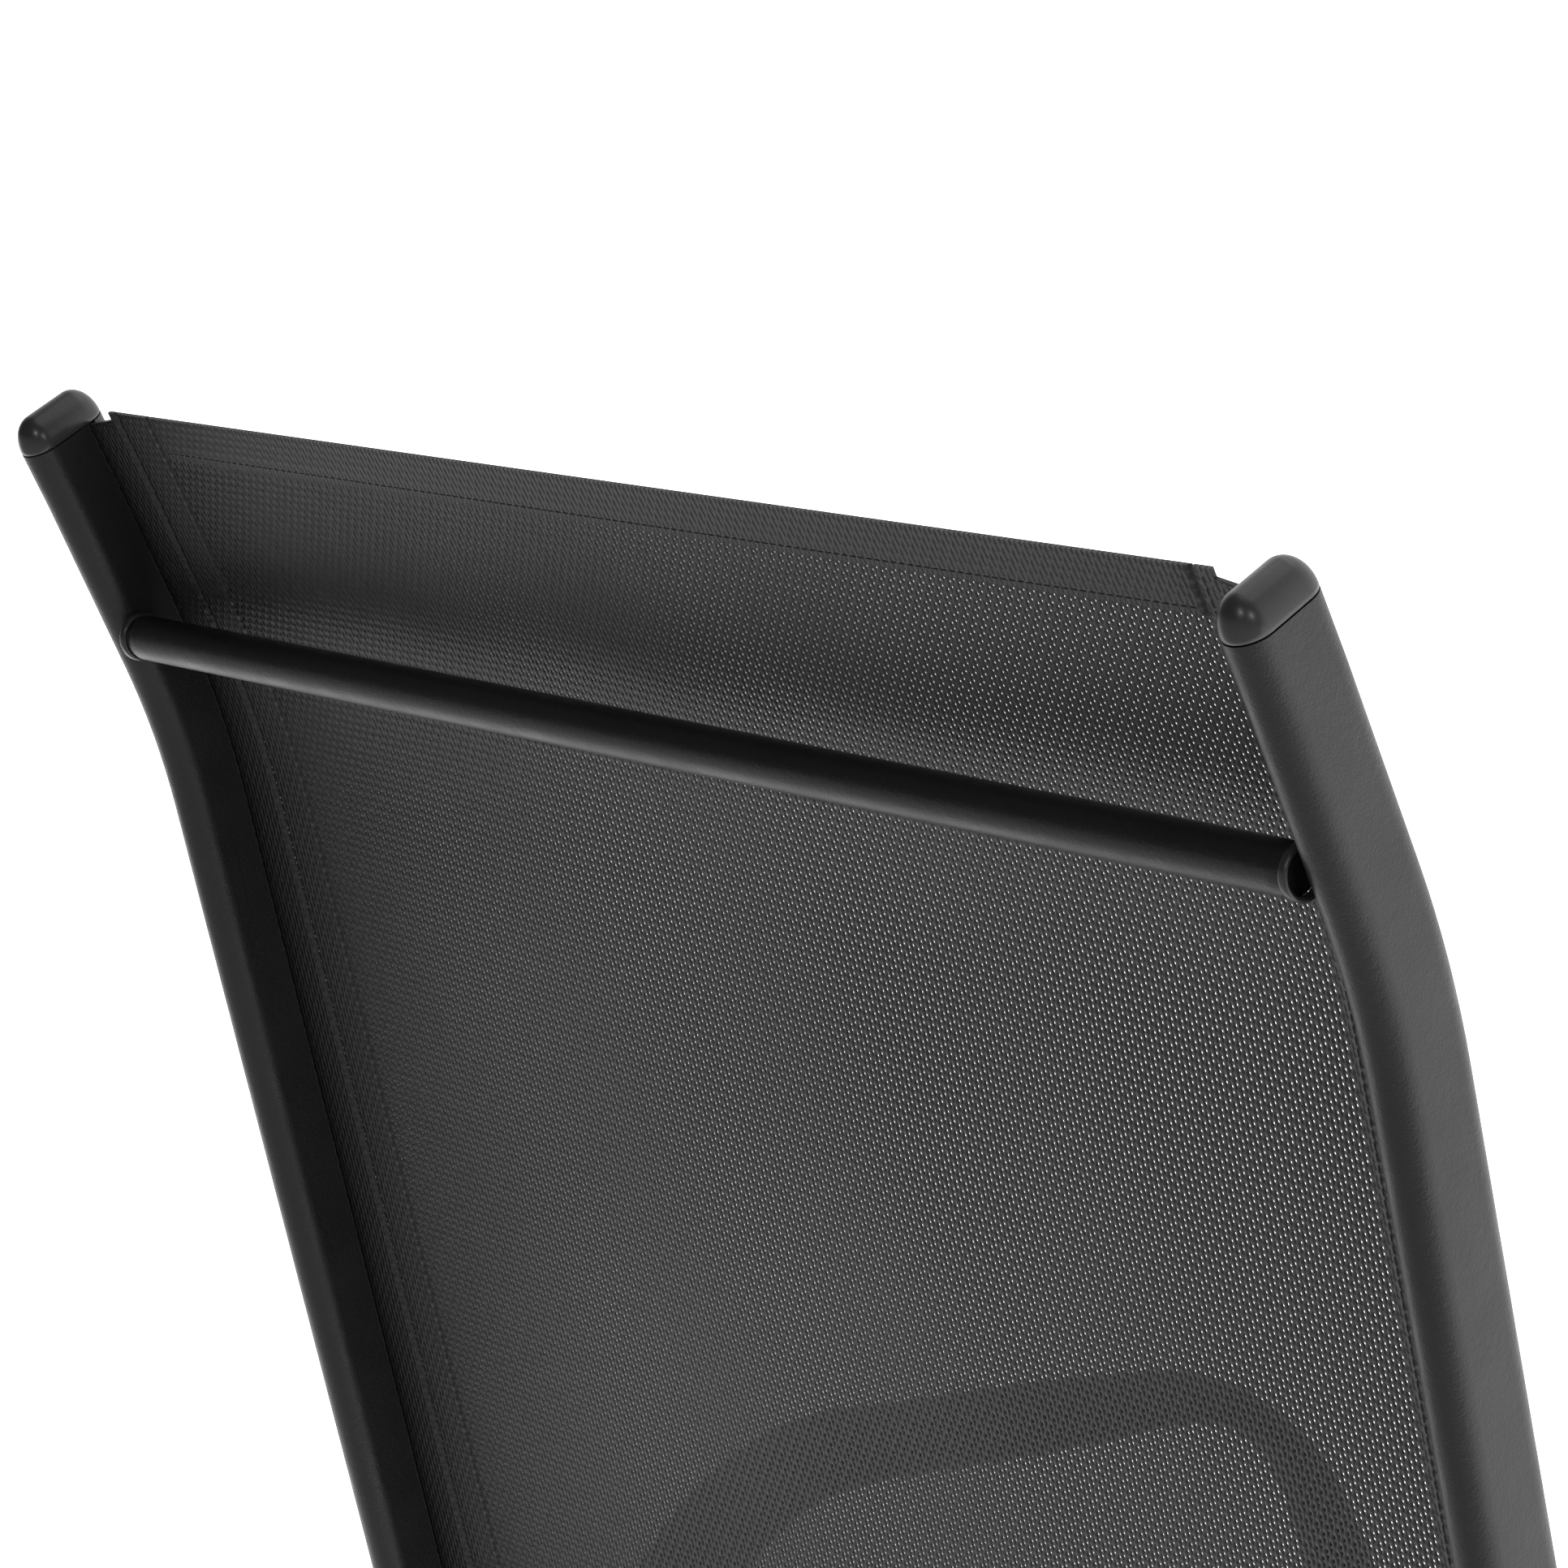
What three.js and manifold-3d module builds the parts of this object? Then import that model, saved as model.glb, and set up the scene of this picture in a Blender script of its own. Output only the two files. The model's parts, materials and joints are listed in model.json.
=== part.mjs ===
// A reclining sun lounger in flat-oval aluminium tube with mesh slings.
// X is across the lounger, +Y points to the foot end, +Z is up and Z = 0 is the floor.
import * as THREE from "three";
import { mergeVertices } from "three/addons/utils/BufferGeometryUtils.js";
import Module from "manifold-3d";

const wasm = await Module();
wasm.setup();

// ---------- Driving dimensions, in millimetres and degrees ----------
const GAP = 0.3; // left between pieces that touch
const BITE = 1; // how far two joined shapes of one piece run into each other
const CUTTER = 200; // side of a block that cuts a piece off, larger than any section

// Flat-oval rail with a spline groove in its inner face
const RAIL_WIDTH = 16;
const RAIL_DEPTH = 31;
const RAIL_WALL = 1.6;
const GROOVE_MOUTH = 3.2;
const GROOVE_BORE = 7;
const SPLINE_DIAMETER = 6.4;
const SLING_THICKNESS = 1.6;

// Base frame
const BASE_LENGTH = 1860;
const SEAT_HEIGHT = 320; // centre of the base rails
const HINGE_FROM_REAR = 640;
const SEAT_SLING_START = 60; // ahead of the hinge
const SEAT_SLING_END_MARGIN = 6;
const SEAT_BAR_DIAMETER = 19;
const SEAT_BAR_DROP = 9; // below the rails' centre line
const SEAT_BAR_FIRST = 74; // rear seat bar, ahead of the hinge
const SEAT_BAR_FRONT_MARGIN = 50;

// Backrest
const BACK_CLEAR_WIDTH = 545; // between the inner faces of its rails
const BACK_SIDE_CLEARANCE = 5.5; // back rail to base rail
const BACK_ANGLE = 75; // above the horizontal, in the most upright position
const BACK_STUB = 25; // rail below the hinge
const BACK_REACH = 615; // hinge to bend
const BEND_ANGLE = 11.7;
const BEND_RADIUS = 280;
const NECK_LENGTH = 90;
const HEAD_BEND = 1.2; // a little more lean at the headrest
const HEAD_RADIUS = 500;
const TOP_LENGTH = 21;
const SLING_ABOVE = 6; // top hem standing over the rail ends
const SLING_ABOVE_INSET = 16; // its ends, from the rails' inner faces
const BACK_SLING_START = 48;
const BACK_BAR_DIAMETER = 15;
const BACK_BAR_UP = 39; // past the bend, along the neck
const BACK_BAR_BEHIND = 10.7; // behind the neck's centre line
const LOWER_BAR_UP = 75;
const LOWER_BAR_BEHIND = 9;
const COLLAR_DIAMETER = 16.4;
const COLLAR_LENGTH = 3;
const CAP_HEIGHT = 11;
const CAP_PLUG = 14;

// Hinge
const PIVOT_DIAMETER = 10;
const PIVOT_HEAD = 20;
const PIVOT_HEAD_LENGTH = 4.5;
const PIVOT_NUT_LENGTH = 7;
const PIVOT_NUT_WIDTH = 19; // across its corners
const PIVOT_TIP = 2; // thread past the nut
const BUSHING_DIAMETER = 26;

// Prop bail and its slotted rack plates
const BAIL_PIVOT_UP = 240;
const BAIL_PIVOT_BEHIND = 8;
const BAIL_LENGTH = 330;
const BAIL_THICKNESS = 6;
const BAIL_WIDTH = 20;
const BAIL_BOLT = 8;
const BAIL_WASHER_LENGTH = 2.7;
const FOOT_BAR_DIAMETER = 12;
const FOOT_BAR_DROP = 52; // below the base rails' centre line
const FOOT_BAR_OVERHANG = 6; // past the rack plate
const RACK_THICKNESS = 3;
const RACK_LIFT = 20; // room for the foot bar to lift over the teeth
const RACK_TOOTH_CLEARANCE = 0.5;
const RACK_NOTCH_WIDTH = 11;
const RACK_NOTCH_DEPTH = 7;
const RACK_EDGE = 10;
const RACK_ANGLES = [BACK_ANGLE, 62, 49, 36, 20, 0];

// Armrests: hollow moulded loops, broad at the feet and slim at the front corner
const ARM_ACROSS = 24;
const ARM_DEPTH = 30; // of the section before it swells
const ARM_WALL = 2.4;
const ARM_REAR_DEPTH = 44;
const ARM_FRONT_DEPTH = 34;
// Share of the loop's length, from the rear foot, and the section's depth there
const ARM_DEPTHS = [
  [0, ARM_REAR_DEPTH], [0.22, ARM_REAR_DEPTH], [0.3, 42], [0.35, 37], [0.41, ARM_DEPTH],
  [0.53, ARM_DEPTH], [0.6, 25], [0.65, 19], [0.7, 15], [0.75, 22], [0.81, 31],
  [0.85, ARM_FRONT_DEPTH], [1, ARM_FRONT_DEPTH],
];
const ARM_REAR = 47; // rear leg of the loop, ahead of the hinge
const ARM_REAR_RISE = 276; // rear corner above the base rails' centre line, before rounding
const ARM_FRONT = 389.5; // front corner, ahead of the hinge, before rounding
const ARM_FRONT_RISE = 249.3;
const ARM_FRONT_FOOT = 491; // foot of the front leg, ahead of the hinge
const ARM_RADIUS_REAR = 100;
const ARM_RADIUS_FRONT = 115;
const SOCKET_WALL = 3;
const SOCKET_HEIGHT = 22;
const SOCKET_FLOOR = 5;
const CHEEK_THICKNESS = 3.5;
const CHEEK_LENGTH = 44;
const CHEEK_DROP = 34;

// Legs
const LEG_WIDTH = 40;
const LEG_THICKNESS = 20;
const LEG_WALL = 1.6;
const LEG_SPLAY = 8; // degrees
const FRONT_LEG_FROM_END = 290;
const REAR_LEG_FROM_END = 180;
const LEG_TOP_ABOVE_RAIL = 4;
const LEG_BOLT = 8;
const LEG_BOLT_HEAD = 16;
const LEG_BOLT_HEAD_LENGTH = 4;
const STRETCHER_DIAMETER = 22;
const STRETCHER_HEIGHT = 150;
const FOOT_WALL = 3;
const FOOT_HEIGHT = 30;
const FOOT_SOLE = 6;

// ---------- Derived places ----------
const RAIL_R = RAIL_WIDTH / 2;
const RAIL_FLAT = (RAIL_DEPTH - RAIL_WIDTH) / 2;
const GROOVE_OFFSET = RAIL_FLAT; // the sling leaves the rail where its flat side ends, on the sitter's side
const HINGE_Y = -BASE_LENGTH / 2 + HINGE_FROM_REAR;
const BACK_X = BACK_CLEAR_WIDTH / 2 + RAIL_R;
const BASE_X = BACK_X + RAIL_WIDTH + BACK_SIDE_CLEARANCE;
const BORE_INSET = RAIL_WALL + GROOVE_BORE / 2; // bore centre, from the inner face
const BAIL_X = BACK_CLEAR_WIDTH / 2 - GAP * 2 - BAIL_WASHER_LENGTH - BAIL_THICKNESS / 2;
const LEG_X = BASE_X + RAIL_R + GAP + LEG_THICKNESS / 2;
const SIDES = [["left", -1], ["right", 1]];
const rad = THREE.MathUtils.degToRad;

// ---------- Materials ----------
const paint = new THREE.MeshStandardMaterial({ color: 0x1d1d1f, roughness: 0.55, metalness: 0.3 });
const plastic = new THREE.MeshStandardMaterial({ color: 0x2c2c2e, roughness: 0.45 });
const mesh = new THREE.MeshStandardMaterial({ color: 0x2a2a2c, roughness: 0.8 });
const cord = new THREE.MeshStandardMaterial({ color: 0x222222, roughness: 0.7 });
const steel = new THREE.MeshStandardMaterial({ color: 0x8d9094, roughness: 0.35, metalness: 0.9 });

// ---------- Solids ----------
function solid(geometry) {
  const bare = geometry.index ? geometry.toNonIndexed() : geometry.clone();
  bare.deleteAttribute("normal");
  bare.deleteAttribute("uv");
  const merged = mergeVertices(bare, 1e-4);
  return new wasm.Manifold(new wasm.Mesh({
    numProp: 3,
    vertProperties: new Float32Array(merged.attributes.position.array),
    triVerts: new Uint32Array(merged.index.array),
  }));
}

function geometryOf(manifold) {
  const made = manifold.getMesh();
  const geometry = new THREE.BufferGeometry();
  const positions = new THREE.Float32BufferAttribute(Array.from(made.vertProperties), made.numProp);
  geometry.setAttribute("position", positions);
  geometry.setIndex(Array.from(made.triVerts));
  geometry.computeVertexNormals();
  return geometry;
}

function cut(geometry, ...tools) {
  let body = solid(geometry);
  for (const tool of tools) {
    body = body.subtract(solid(tool));
  }
  return geometryOf(body);
}

function join(...geometries) {
  let body = solid(geometries[0]);
  for (const other of geometries.slice(1)) {
    body = body.add(solid(other));
  }
  return geometryOf(body);
}

function add(group, name, geometry, material) {
  const piece = new THREE.Mesh(geometry, material);
  piece.name = name;
  group.add(piece);
  return piece;
}

// A rod or a tube along X, centred on (x, y, z)
function rodX(radius, length, x, y, z, sides = 12) {
  const geometry = new THREE.CylinderGeometry(radius, radius, length, sides);
  return geometry.rotateZ(Math.PI / 2).translate(x, y, z);
}

function ringX(outer, inner, length, x, y, z, sides = 16) {
  const half = length / 2;
  const profile = [[inner, -half], [outer, -half], [outer, half], [inner, half], [inner, -half]];
  const points = profile.map(([r, h]) => new THREE.Vector2(r, h));
  return new THREE.LatheGeometry(points, sides).rotateZ(Math.PI / 2).translate(x, y, z);
}

function box(width, depth, height, x, y, z) {
  return new THREE.BoxGeometry(width, depth, height).translate(x, y, z);
}

// ---------- Sections ----------
function arc(cx, cy, radius, from, to, steps) {
  const points = [];
  for (let i = 0; i <= steps; i += 1) {
    const angle = from + ((to - from) * i) / steps;
    points.push(new THREE.Vector2(cx + radius * Math.cos(angle), cy + radius * Math.sin(angle)));
  }
  return points;
}

// A stadium: width across, depth along the second axis; either may be the longer
function ovalPoints(width, depth, steps = 8) {
  const r = Math.min(width, depth) / 2;
  const dx = width / 2 - r;
  const dy = depth / 2 - r;
  if (dx > 0) {
    return [
      ...arc(dx, 0, r, -Math.PI / 2, Math.PI / 2, steps),
      ...arc(-dx, 0, r, Math.PI / 2, Math.PI * 1.5, steps),
    ];
  }
  return [...arc(0, dy, r, 0, Math.PI, steps), ...arc(0, -dy, r, Math.PI, Math.PI * 2, steps)];
}

function tubeShape(width, depth, wall) {
  const shape = new THREE.Shape(ovalPoints(width, depth));
  shape.holes.push(new THREE.Path(ovalPoints(width - 2 * wall, depth - 2 * wall)));
  return shape;
}

// The same outline for the other side, still running anticlockwise
function handed(points, side) {
  const turned = points.map((p) => new THREE.Vector2(p.x * side, p.y));
  return side < 0 ? turned.reverse() : turned;
}

// Rail section for one side: the groove opens to the inner face, at -side in the first axis
function chamberPoints(side, clearance = 0) {
  const r = RAIL_R - RAIL_WALL - clearance;
  const reach = GROOVE_BORE / 2 + RAIL_WALL + clearance;
  const bite = -RAIL_R + BORE_INSET + reach;
  const top = Math.asin(reach / r);
  const points = [
    ...arc(0, -RAIL_FLAT, r, Math.PI, Math.PI * 2, 6),
    ...arc(0, RAIL_FLAT, r, 0, Math.PI - top, 5),
    new THREE.Vector2(bite, GROOVE_OFFSET + reach),
    new THREE.Vector2(bite, GROOVE_OFFSET - reach),
    new THREE.Vector2(-r, GROOVE_OFFSET - reach),
  ];
  return handed(points, side);
}

function railShape(side) {
  const lip = GROOVE_MOUTH / 2;
  const bore = GROOVE_BORE / 2;
  const turn = Math.asin(lip / bore);
  const points = [
    ...arc(0, -RAIL_FLAT, RAIL_R, Math.PI, Math.PI * 2, 8),
    ...arc(0, RAIL_FLAT, RAIL_R, 0, Math.PI - Math.asin(lip / RAIL_R), 8),
    ...arc(-RAIL_R + BORE_INSET, GROOVE_OFFSET, bore, Math.PI - turn, -Math.PI + turn, 7),
    new THREE.Vector2(-RAIL_R, GROOVE_OFFSET - lip),
  ];
  const shape = new THREE.Shape(handed(points, side));
  shape.holes.push(new THREE.Path(chamberPoints(side)));
  return shape;
}

// ---------- Sweeps in the YZ plane ----------
// corners: [y, z, radius]; each station has its place and its direction
function route(corners, stepAngle = rad(4)) {
  const stations = [];
  const at = (y, z, dir) => stations.push({ y, z, dir });
  for (let i = 0; i < corners.length; i += 1) {
    const [y, z, radius] = corners[i];
    const before = i > 0 && Math.atan2(z - corners[i - 1][1], y - corners[i - 1][0]);
    const after = i < corners.length - 1 && Math.atan2(corners[i + 1][1] - z, corners[i + 1][0] - y);
    if (before === false || after === false) {
      at(y, z, before === false ? after : before);
      continue;
    }
    let turn = after - before;
    turn = Math.atan2(Math.sin(turn), Math.cos(turn));
    const tangent = radius * Math.tan(Math.abs(turn) / 2);
    const steps = Math.max(2, Math.ceil(Math.abs(turn) / stepAngle));
    const side = Math.sign(turn);
    const cy = y - tangent * Math.cos(before) - side * radius * Math.sin(before);
    const cz = z - tangent * Math.sin(before) + side * radius * Math.cos(before);
    for (let k = 0; k <= steps; k += 1) {
      const dir = before + (turn * k) / steps;
      at(cy + side * radius * Math.sin(dir), cz - side * radius * Math.cos(dir), dir);
    }
  }
  return stations;
}

// The part of a route between two distances from its start
function trimmed(stations, from, to) {
  const kept = [];
  let run = 0;
  for (let i = 0; i < stations.length - 1; i += 1) {
    const a = stations[i];
    const b = stations[i + 1];
    const length = Math.hypot(b.y - a.y, b.z - a.z);
    const mix = (t) => ({
      y: a.y + (b.y - a.y) * t,
      z: a.z + (b.z - a.z) * t,
      dir: a.dir + (b.dir - a.dir) * t,
    });
    if (run <= from && from < run + length) {
      kept.push(mix((from - run) / length));
    } else if (run > from && run < to) {
      kept.push(a);
    }
    if (run < to && to <= run + length) {
      kept.push(mix((to - run) / length));
    }
    run += length;
  }
  return kept;
}

function routeLength(stations) {
  let run = 0;
  for (let i = 1; i < stations.length; i += 1) {
    run += Math.hypot(stations[i].y - stations[i - 1].y, stations[i].z - stations[i - 1].z);
  }
  return run;
}

// Sweeps a section along a route; the section's second axis points to the route's right-hand normal
function sweep(shape, stations, x = 0) {
  const last = stations.length - 1;
  const options = { depth: last, steps: last, bevelEnabled: false };
  const geometry = new THREE.ExtrudeGeometry(shape, options);
  const position = geometry.attributes.position;
  for (let i = 0; i < position.count; i += 1) {
    const s = stations[Math.round(position.getZ(i))];
    const across = position.getX(i);
    const up = position.getY(i) * (s.swell ?? 1);
    position.setXYZ(i, x + across, s.y + up * Math.sin(s.dir), s.z - up * Math.cos(s.dir));
  }
  return geometry;
}

// ---------- Shared pieces ----------
// A domed end cap with a plug, seated on a rail end that faces +Z at the origin
function railCap(side) {
  const dome = new THREE.CapsuleGeometry(RAIL_R, RAIL_DEPTH - RAIL_WIDTH, 4, 16);
  dome.scale(1, 1, CAP_HEIGHT / RAIL_R).translate(0, 0, GAP);
  const below = box(CUTTER, CUTTER, CUTTER, 0, 0, GAP - CUTTER / 2);
  const plugShape = new THREE.Shape(chamberPoints(side, GAP));
  const plug = new THREE.ExtrudeGeometry(plugShape, { depth: CAP_PLUG + BITE, bevelEnabled: false });
  plug.translate(0, 0, -CAP_PLUG);
  const body = solid(dome).subtract(solid(below)).add(solid(plug));
  return geometryOf(body);
}

// Seats a cap on the end of a route: facing onwards at its end, or back at its start
function placeCap(group, name, side, station, x, facing) {
  const cap = add(group, name, railCap(side), plastic);
  const along = new THREE.Vector3(0, Math.cos(station.dir), Math.sin(station.dir));
  const normal = new THREE.Vector3(0, Math.sin(station.dir), -Math.cos(station.dir));
  cap.position.set(x, station.y, station.z);
  const xAxis = new THREE.Vector3(1, 0, 0);
  if (facing < 0) {
    cap.geometry = railCap(-side);
    xAxis.negate();
    along.negate();
  }
  cap.quaternion.setFromRotationMatrix(new THREE.Matrix4().makeBasis(xAxis, normal, along));
}

function slingShape(halfWidth) {
  return new THREE.Shape([
    new THREE.Vector2(-halfWidth, GROOVE_OFFSET - SLING_THICKNESS / 2),
    new THREE.Vector2(halfWidth, GROOVE_OFFSET - SLING_THICKNESS / 2),
    new THREE.Vector2(halfWidth, GROOVE_OFFSET + SLING_THICKNESS / 2),
    new THREE.Vector2(-halfWidth, GROOVE_OFFSET + SLING_THICKNESS / 2),
  ]);
}

function spline(group, name, side, railX, stations) {
  const x = -side * (RAIL_R - BORE_INSET);
  const shape = new THREE.Shape(arc(x, GROOVE_OFFSET, SPLINE_DIAMETER / 2, 0, Math.PI * 1.75, 7));
  add(group, name, sweep(shape, stations, railX), cord);
}

// Half width of a sling that ends against the splines of rails at railX
const slingHalf = (railX) => railX - RAIL_R + BORE_INSET - SPLINE_DIAMETER / 2 - GAP;

// ---------- Base frame ----------
const lounger = new THREE.Group();
const baseRoute = route([[BASE_LENGTH / 2, SEAT_HEIGHT, 0], [-BASE_LENGTH / 2, SEAT_HEIGHT, 0]]);

const legSpots = [
  ["front", BASE_LENGTH / 2 - FRONT_LEG_FROM_END, 1],
  ["rear", -BASE_LENGTH / 2 + REAR_LEG_FROM_END, -1],
];

function baseRails() {
  for (const [name, side] of SIDES) {
    const holes = legSpots.map(([, y]) =>
      rodX(LEG_BOLT / 2 + GAP, RAIL_WIDTH * 2, side * BASE_X, y, SEAT_HEIGHT));
    const pivot = rodX(PIVOT_DIAMETER / 2 + GAP, RAIL_WIDTH * 2, side * BASE_X, HINGE_Y, SEAT_HEIGHT);
    const rail = cut(sweep(railShape(side), baseRoute, side * BASE_X), pivot, ...holes);
    add(lounger, `base_rail_${name}`, rail, paint);
    placeCap(lounger, `base_cap_front_${name}`, side, baseRoute[0], side * BASE_X, -1);
    placeCap(lounger, `base_cap_rear_${name}`, side, baseRoute.at(-1), side * BASE_X, 1);
  }
}

function seat() {
  const start = SEAT_SLING_END_MARGIN;
  const end = BASE_LENGTH - HINGE_FROM_REAR - SEAT_SLING_START;
  const part = trimmed(baseRoute, start, end);
  add(lounger, "seat_sling", sweep(slingShape(slingHalf(BASE_X)), part), mesh);
  for (const [name, side] of SIDES) {
    spline(lounger, `seat_spline_${name}`, side, side * BASE_X, part);
  }
  const first = HINGE_Y + SEAT_BAR_FIRST;
  const last = BASE_LENGTH / 2 - SEAT_BAR_FRONT_MARGIN;
  const bars = [["rear", first], ["middle", (first + last) / 2], ["front", last]];
  const r = SEAT_BAR_DIAMETER / 2;
  const length = 2 * (BASE_X - RAIL_R - GAP);
  for (const [name, y] of bars) {
    const bar = ringX(r, r - RAIL_WALL, length, 0, y, SEAT_HEIGHT - SEAT_BAR_DROP);
    add(lounger, `seat_bar_${name}`, bar, paint);
  }
}

// ---------- Legs ----------
// A leg leans outwards from its bolt; local +Z runs up it and the origin is at the bolt
function legs() {
  const lean = rad(LEG_SPLAY);
  const down = SEAT_HEIGHT / Math.cos(lean);
  const top = RAIL_DEPTH / 2 + LEG_TOP_ABOVE_RAIL;
  const tubeEnd = -down + FOOT_SOLE + LEG_WIDTH / 2 * Math.tan(lean);
  for (const [place, y, way] of legSpots) {
    for (const [name, side] of SIDES) {
      const group = new THREE.Group();
      group.position.set(side * LEG_X, y, SEAT_HEIGHT);
      group.rotation.x = way * lean;
      lounger.add(group);
      const outer = new THREE.Shape(ovalPoints(LEG_THICKNESS, LEG_WIDTH));
      const depth = top - tubeEnd;
      const body = new THREE.ExtrudeGeometry(outer, { depth, bevelEnabled: false });
      body.translate(0, 0, tubeEnd);
      const inside = ovalPoints(LEG_THICKNESS - 2 * LEG_WALL, LEG_WIDTH - 2 * LEG_WALL);
      const hollowShape = new THREE.Shape(inside);
      const hollow = new THREE.ExtrudeGeometry(hollowShape, { depth, bevelEnabled: false });
      hollow.translate(0, 0, tubeEnd - 2 * LEG_WALL);
      const hole = rodX(LEG_BOLT / 2 + GAP, LEG_THICKNESS * 2, 0, 0, 0);
      add(group, `leg_${place}_${name}`, cut(body, hollow, hole), paint);

      const shoeShape = new THREE.Shape(
        ovalPoints(LEG_THICKNESS + 2 * FOOT_WALL, LEG_WIDTH + 2 * FOOT_WALL));
      const shoeTop = -down + FOOT_HEIGHT;
      const shoeDepth = FOOT_HEIGHT + LEG_WIDTH;
      const shoe = new THREE.ExtrudeGeometry(shoeShape, { depth: shoeDepth, bevelEnabled: false });
      shoe.translate(0, 0, shoeTop - shoeDepth);
      const pocketShape = new THREE.Shape(
        ovalPoints(LEG_THICKNESS + 2 * GAP, LEG_WIDTH + 2 * GAP));
      const pocket = new THREE.ExtrudeGeometry(pocketShape, { depth, bevelEnabled: false });
      pocket.translate(0, 0, tubeEnd - GAP);
      const floor = box(CUTTER, CUTTER, CUTTER, 0, 0, -CUTTER / 2);
      floor.translate(0, 0, -SEAT_HEIGHT).rotateX(-way * lean);
      add(group, `foot_${place}_${name}`, cut(shoe, pocket, floor), plastic);

      const inner = BASE_X - RAIL_R - GAP;
      const outerFace = LEG_X + LEG_THICKNESS / 2 + GAP;
      add(group, `leg_bolt_${place}_${name}`, bolt(LEG_BOLT, LEG_BOLT_HEAD, LEG_BOLT_HEAD_LENGTH,
        side, inner - LEG_X, outerFace - LEG_X), steel);
    }
    const dropped = SEAT_HEIGHT - STRETCHER_HEIGHT;
    const r = STRETCHER_DIAMETER / 2;
    const length = 2 * (LEG_X - LEG_THICKNESS / 2 - GAP);
    const spot = y + way * dropped * Math.tan(lean);
    const stretcher = ringX(r, r - LEG_WALL, length, 0, spot, STRETCHER_HEIGHT);
    add(lounger, `stretcher_${place}`, stretcher, paint);
  }
}

// A headed bolt along X, from an inner end to the face that its head bears on
function bolt(diameter, head, headLength, side, from, to) {
  const shank = rodX(diameter / 2, to - from + BITE, side * (from + to + BITE) / 2, 0, 0);
  const cap = rodX(head / 2, headLength, side * (to + headLength / 2), 0, 0, 16);
  return join(shank, cap);
}

// ---------- Armrests ----------
function armrests() {
  const foot = SEAT_HEIGHT + RAIL_DEPTH / 2 + GAP + SOCKET_FLOOR + GAP;
  const corners = [
    [HINGE_Y + ARM_REAR, foot, 0],
    [HINGE_Y + ARM_REAR, SEAT_HEIGHT + ARM_REAR_RISE, ARM_RADIUS_REAR],
    [HINGE_Y + ARM_FRONT, SEAT_HEIGHT + ARM_FRONT_RISE, ARM_RADIUS_FRONT],
    [HINGE_Y + ARM_FRONT_FOOT, foot, 0],
  ];
  const loop = swollen(route(corners, rad(7)));
  const tube = tubeShape(ARM_ACROSS, ARM_DEPTH, ARM_WALL);
  for (const [name, side] of SIDES) {
    const x = side * BASE_X;
    const band = sweep(tube, loop, x);
    const level = box(ARM_REAR_DEPTH * 2, BASE_LENGTH, foot, x, 0, foot / 2);
    add(lounger, `armrest_${name}`, cut(band, level), paint);
    const ends = [
      ["rear", loop[0], loop[1]],
      ["front", loop.at(-1), loop.at(-2)],
    ];
    for (const [place, end, next] of ends) {
      const node = `armrest_socket_${place}_${name}`;
      add(lounger, node, socket(side, x, end, next, foot), plastic);
    }
  }
}

// Gives each station of the loop how much its section swells there
function swollen(stations) {
  const length = routeLength(stations);
  const cuts = ARM_DEPTHS.map(([share]) => share * length);
  const places = [];
  let run = 0;
  for (let i = 0; i < stations.length; i += 1) {
    const a = stations[i];
    const b = stations[i + 1];
    const step = b ? Math.hypot(b.y - a.y, b.z - a.z) : 0;
    places.push({ ...a, run });
    for (const cut of cuts.filter((c) => c > run + 1 && c < run + step - 1)) {
      const t = (cut - run) / step;
      places.push({ y: a.y + (b.y - a.y) * t, z: a.z + (b.z - a.z) * t, dir: a.dir, run: cut });
    }
    run += step;
  }
  return places.map((p) => {
    const share = p.run / length;
    const k = Math.max(1, ARM_DEPTHS.findIndex(([s]) => s >= share - 1e-6));
    const [from, depth] = ARM_DEPTHS[k - 1];
    const [to, nextDepth] = ARM_DEPTHS[k];
    const t = Math.min(1, (share - from) / (to - from));
    return { ...p, swell: (depth + (nextDepth - depth) * t) / ARM_DEPTH };
  });
}

// A moulded socket that takes one end of an armrest and wraps over the base rail's outer face
function socket(side, x, end, next, foot) {
  const dir = Math.atan2(next.z - end.z, next.y - end.y);
  const along = (distance) => ({
    y: end.y + distance * Math.cos(dir),
    z: end.z + distance * Math.sin(dir),
    dir,
    swell: end.swell,
  });
  const grown = (by) => new THREE.Shape(
    ovalPoints(ARM_ACROSS + 2 * by, ARM_DEPTH + 2 * by / end.swell));
  const collar = sweep(grown(SOCKET_WALL), [along(-SOCKET_HEIGHT), along(SOCKET_HEIGHT)], x);
  const pocket = sweep(grown(GAP), [along(-SOCKET_HEIGHT), along(SOCKET_HEIGHT * 2)], x);
  const railTop = SEAT_HEIGHT + RAIL_DEPTH / 2 + GAP;
  const belowRailTop = box(CUTTER, CUTTER, CUTTER, x, end.y, railTop - CUTTER / 2);
  const abovePocketFloor = box(CUTTER, CUTTER, CUTTER, x, end.y, foot - GAP + CUTTER / 2);
  const bore = geometryOf(solid(pocket).intersect(solid(abovePocketFloor)));
  const outerFace = side * (BASE_X + RAIL_R + GAP + CHEEK_THICKNESS / 2);
  const cheekHeight = CHEEK_DROP + SOCKET_FLOOR;
  const cheek = box(CHEEK_THICKNESS, CHEEK_LENGTH, cheekHeight, outerFace, end.y,
    railTop + SOCKET_FLOOR - cheekHeight / 2);
  return join(cut(collar, belowRailTop, bore), cheek);
}

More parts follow.
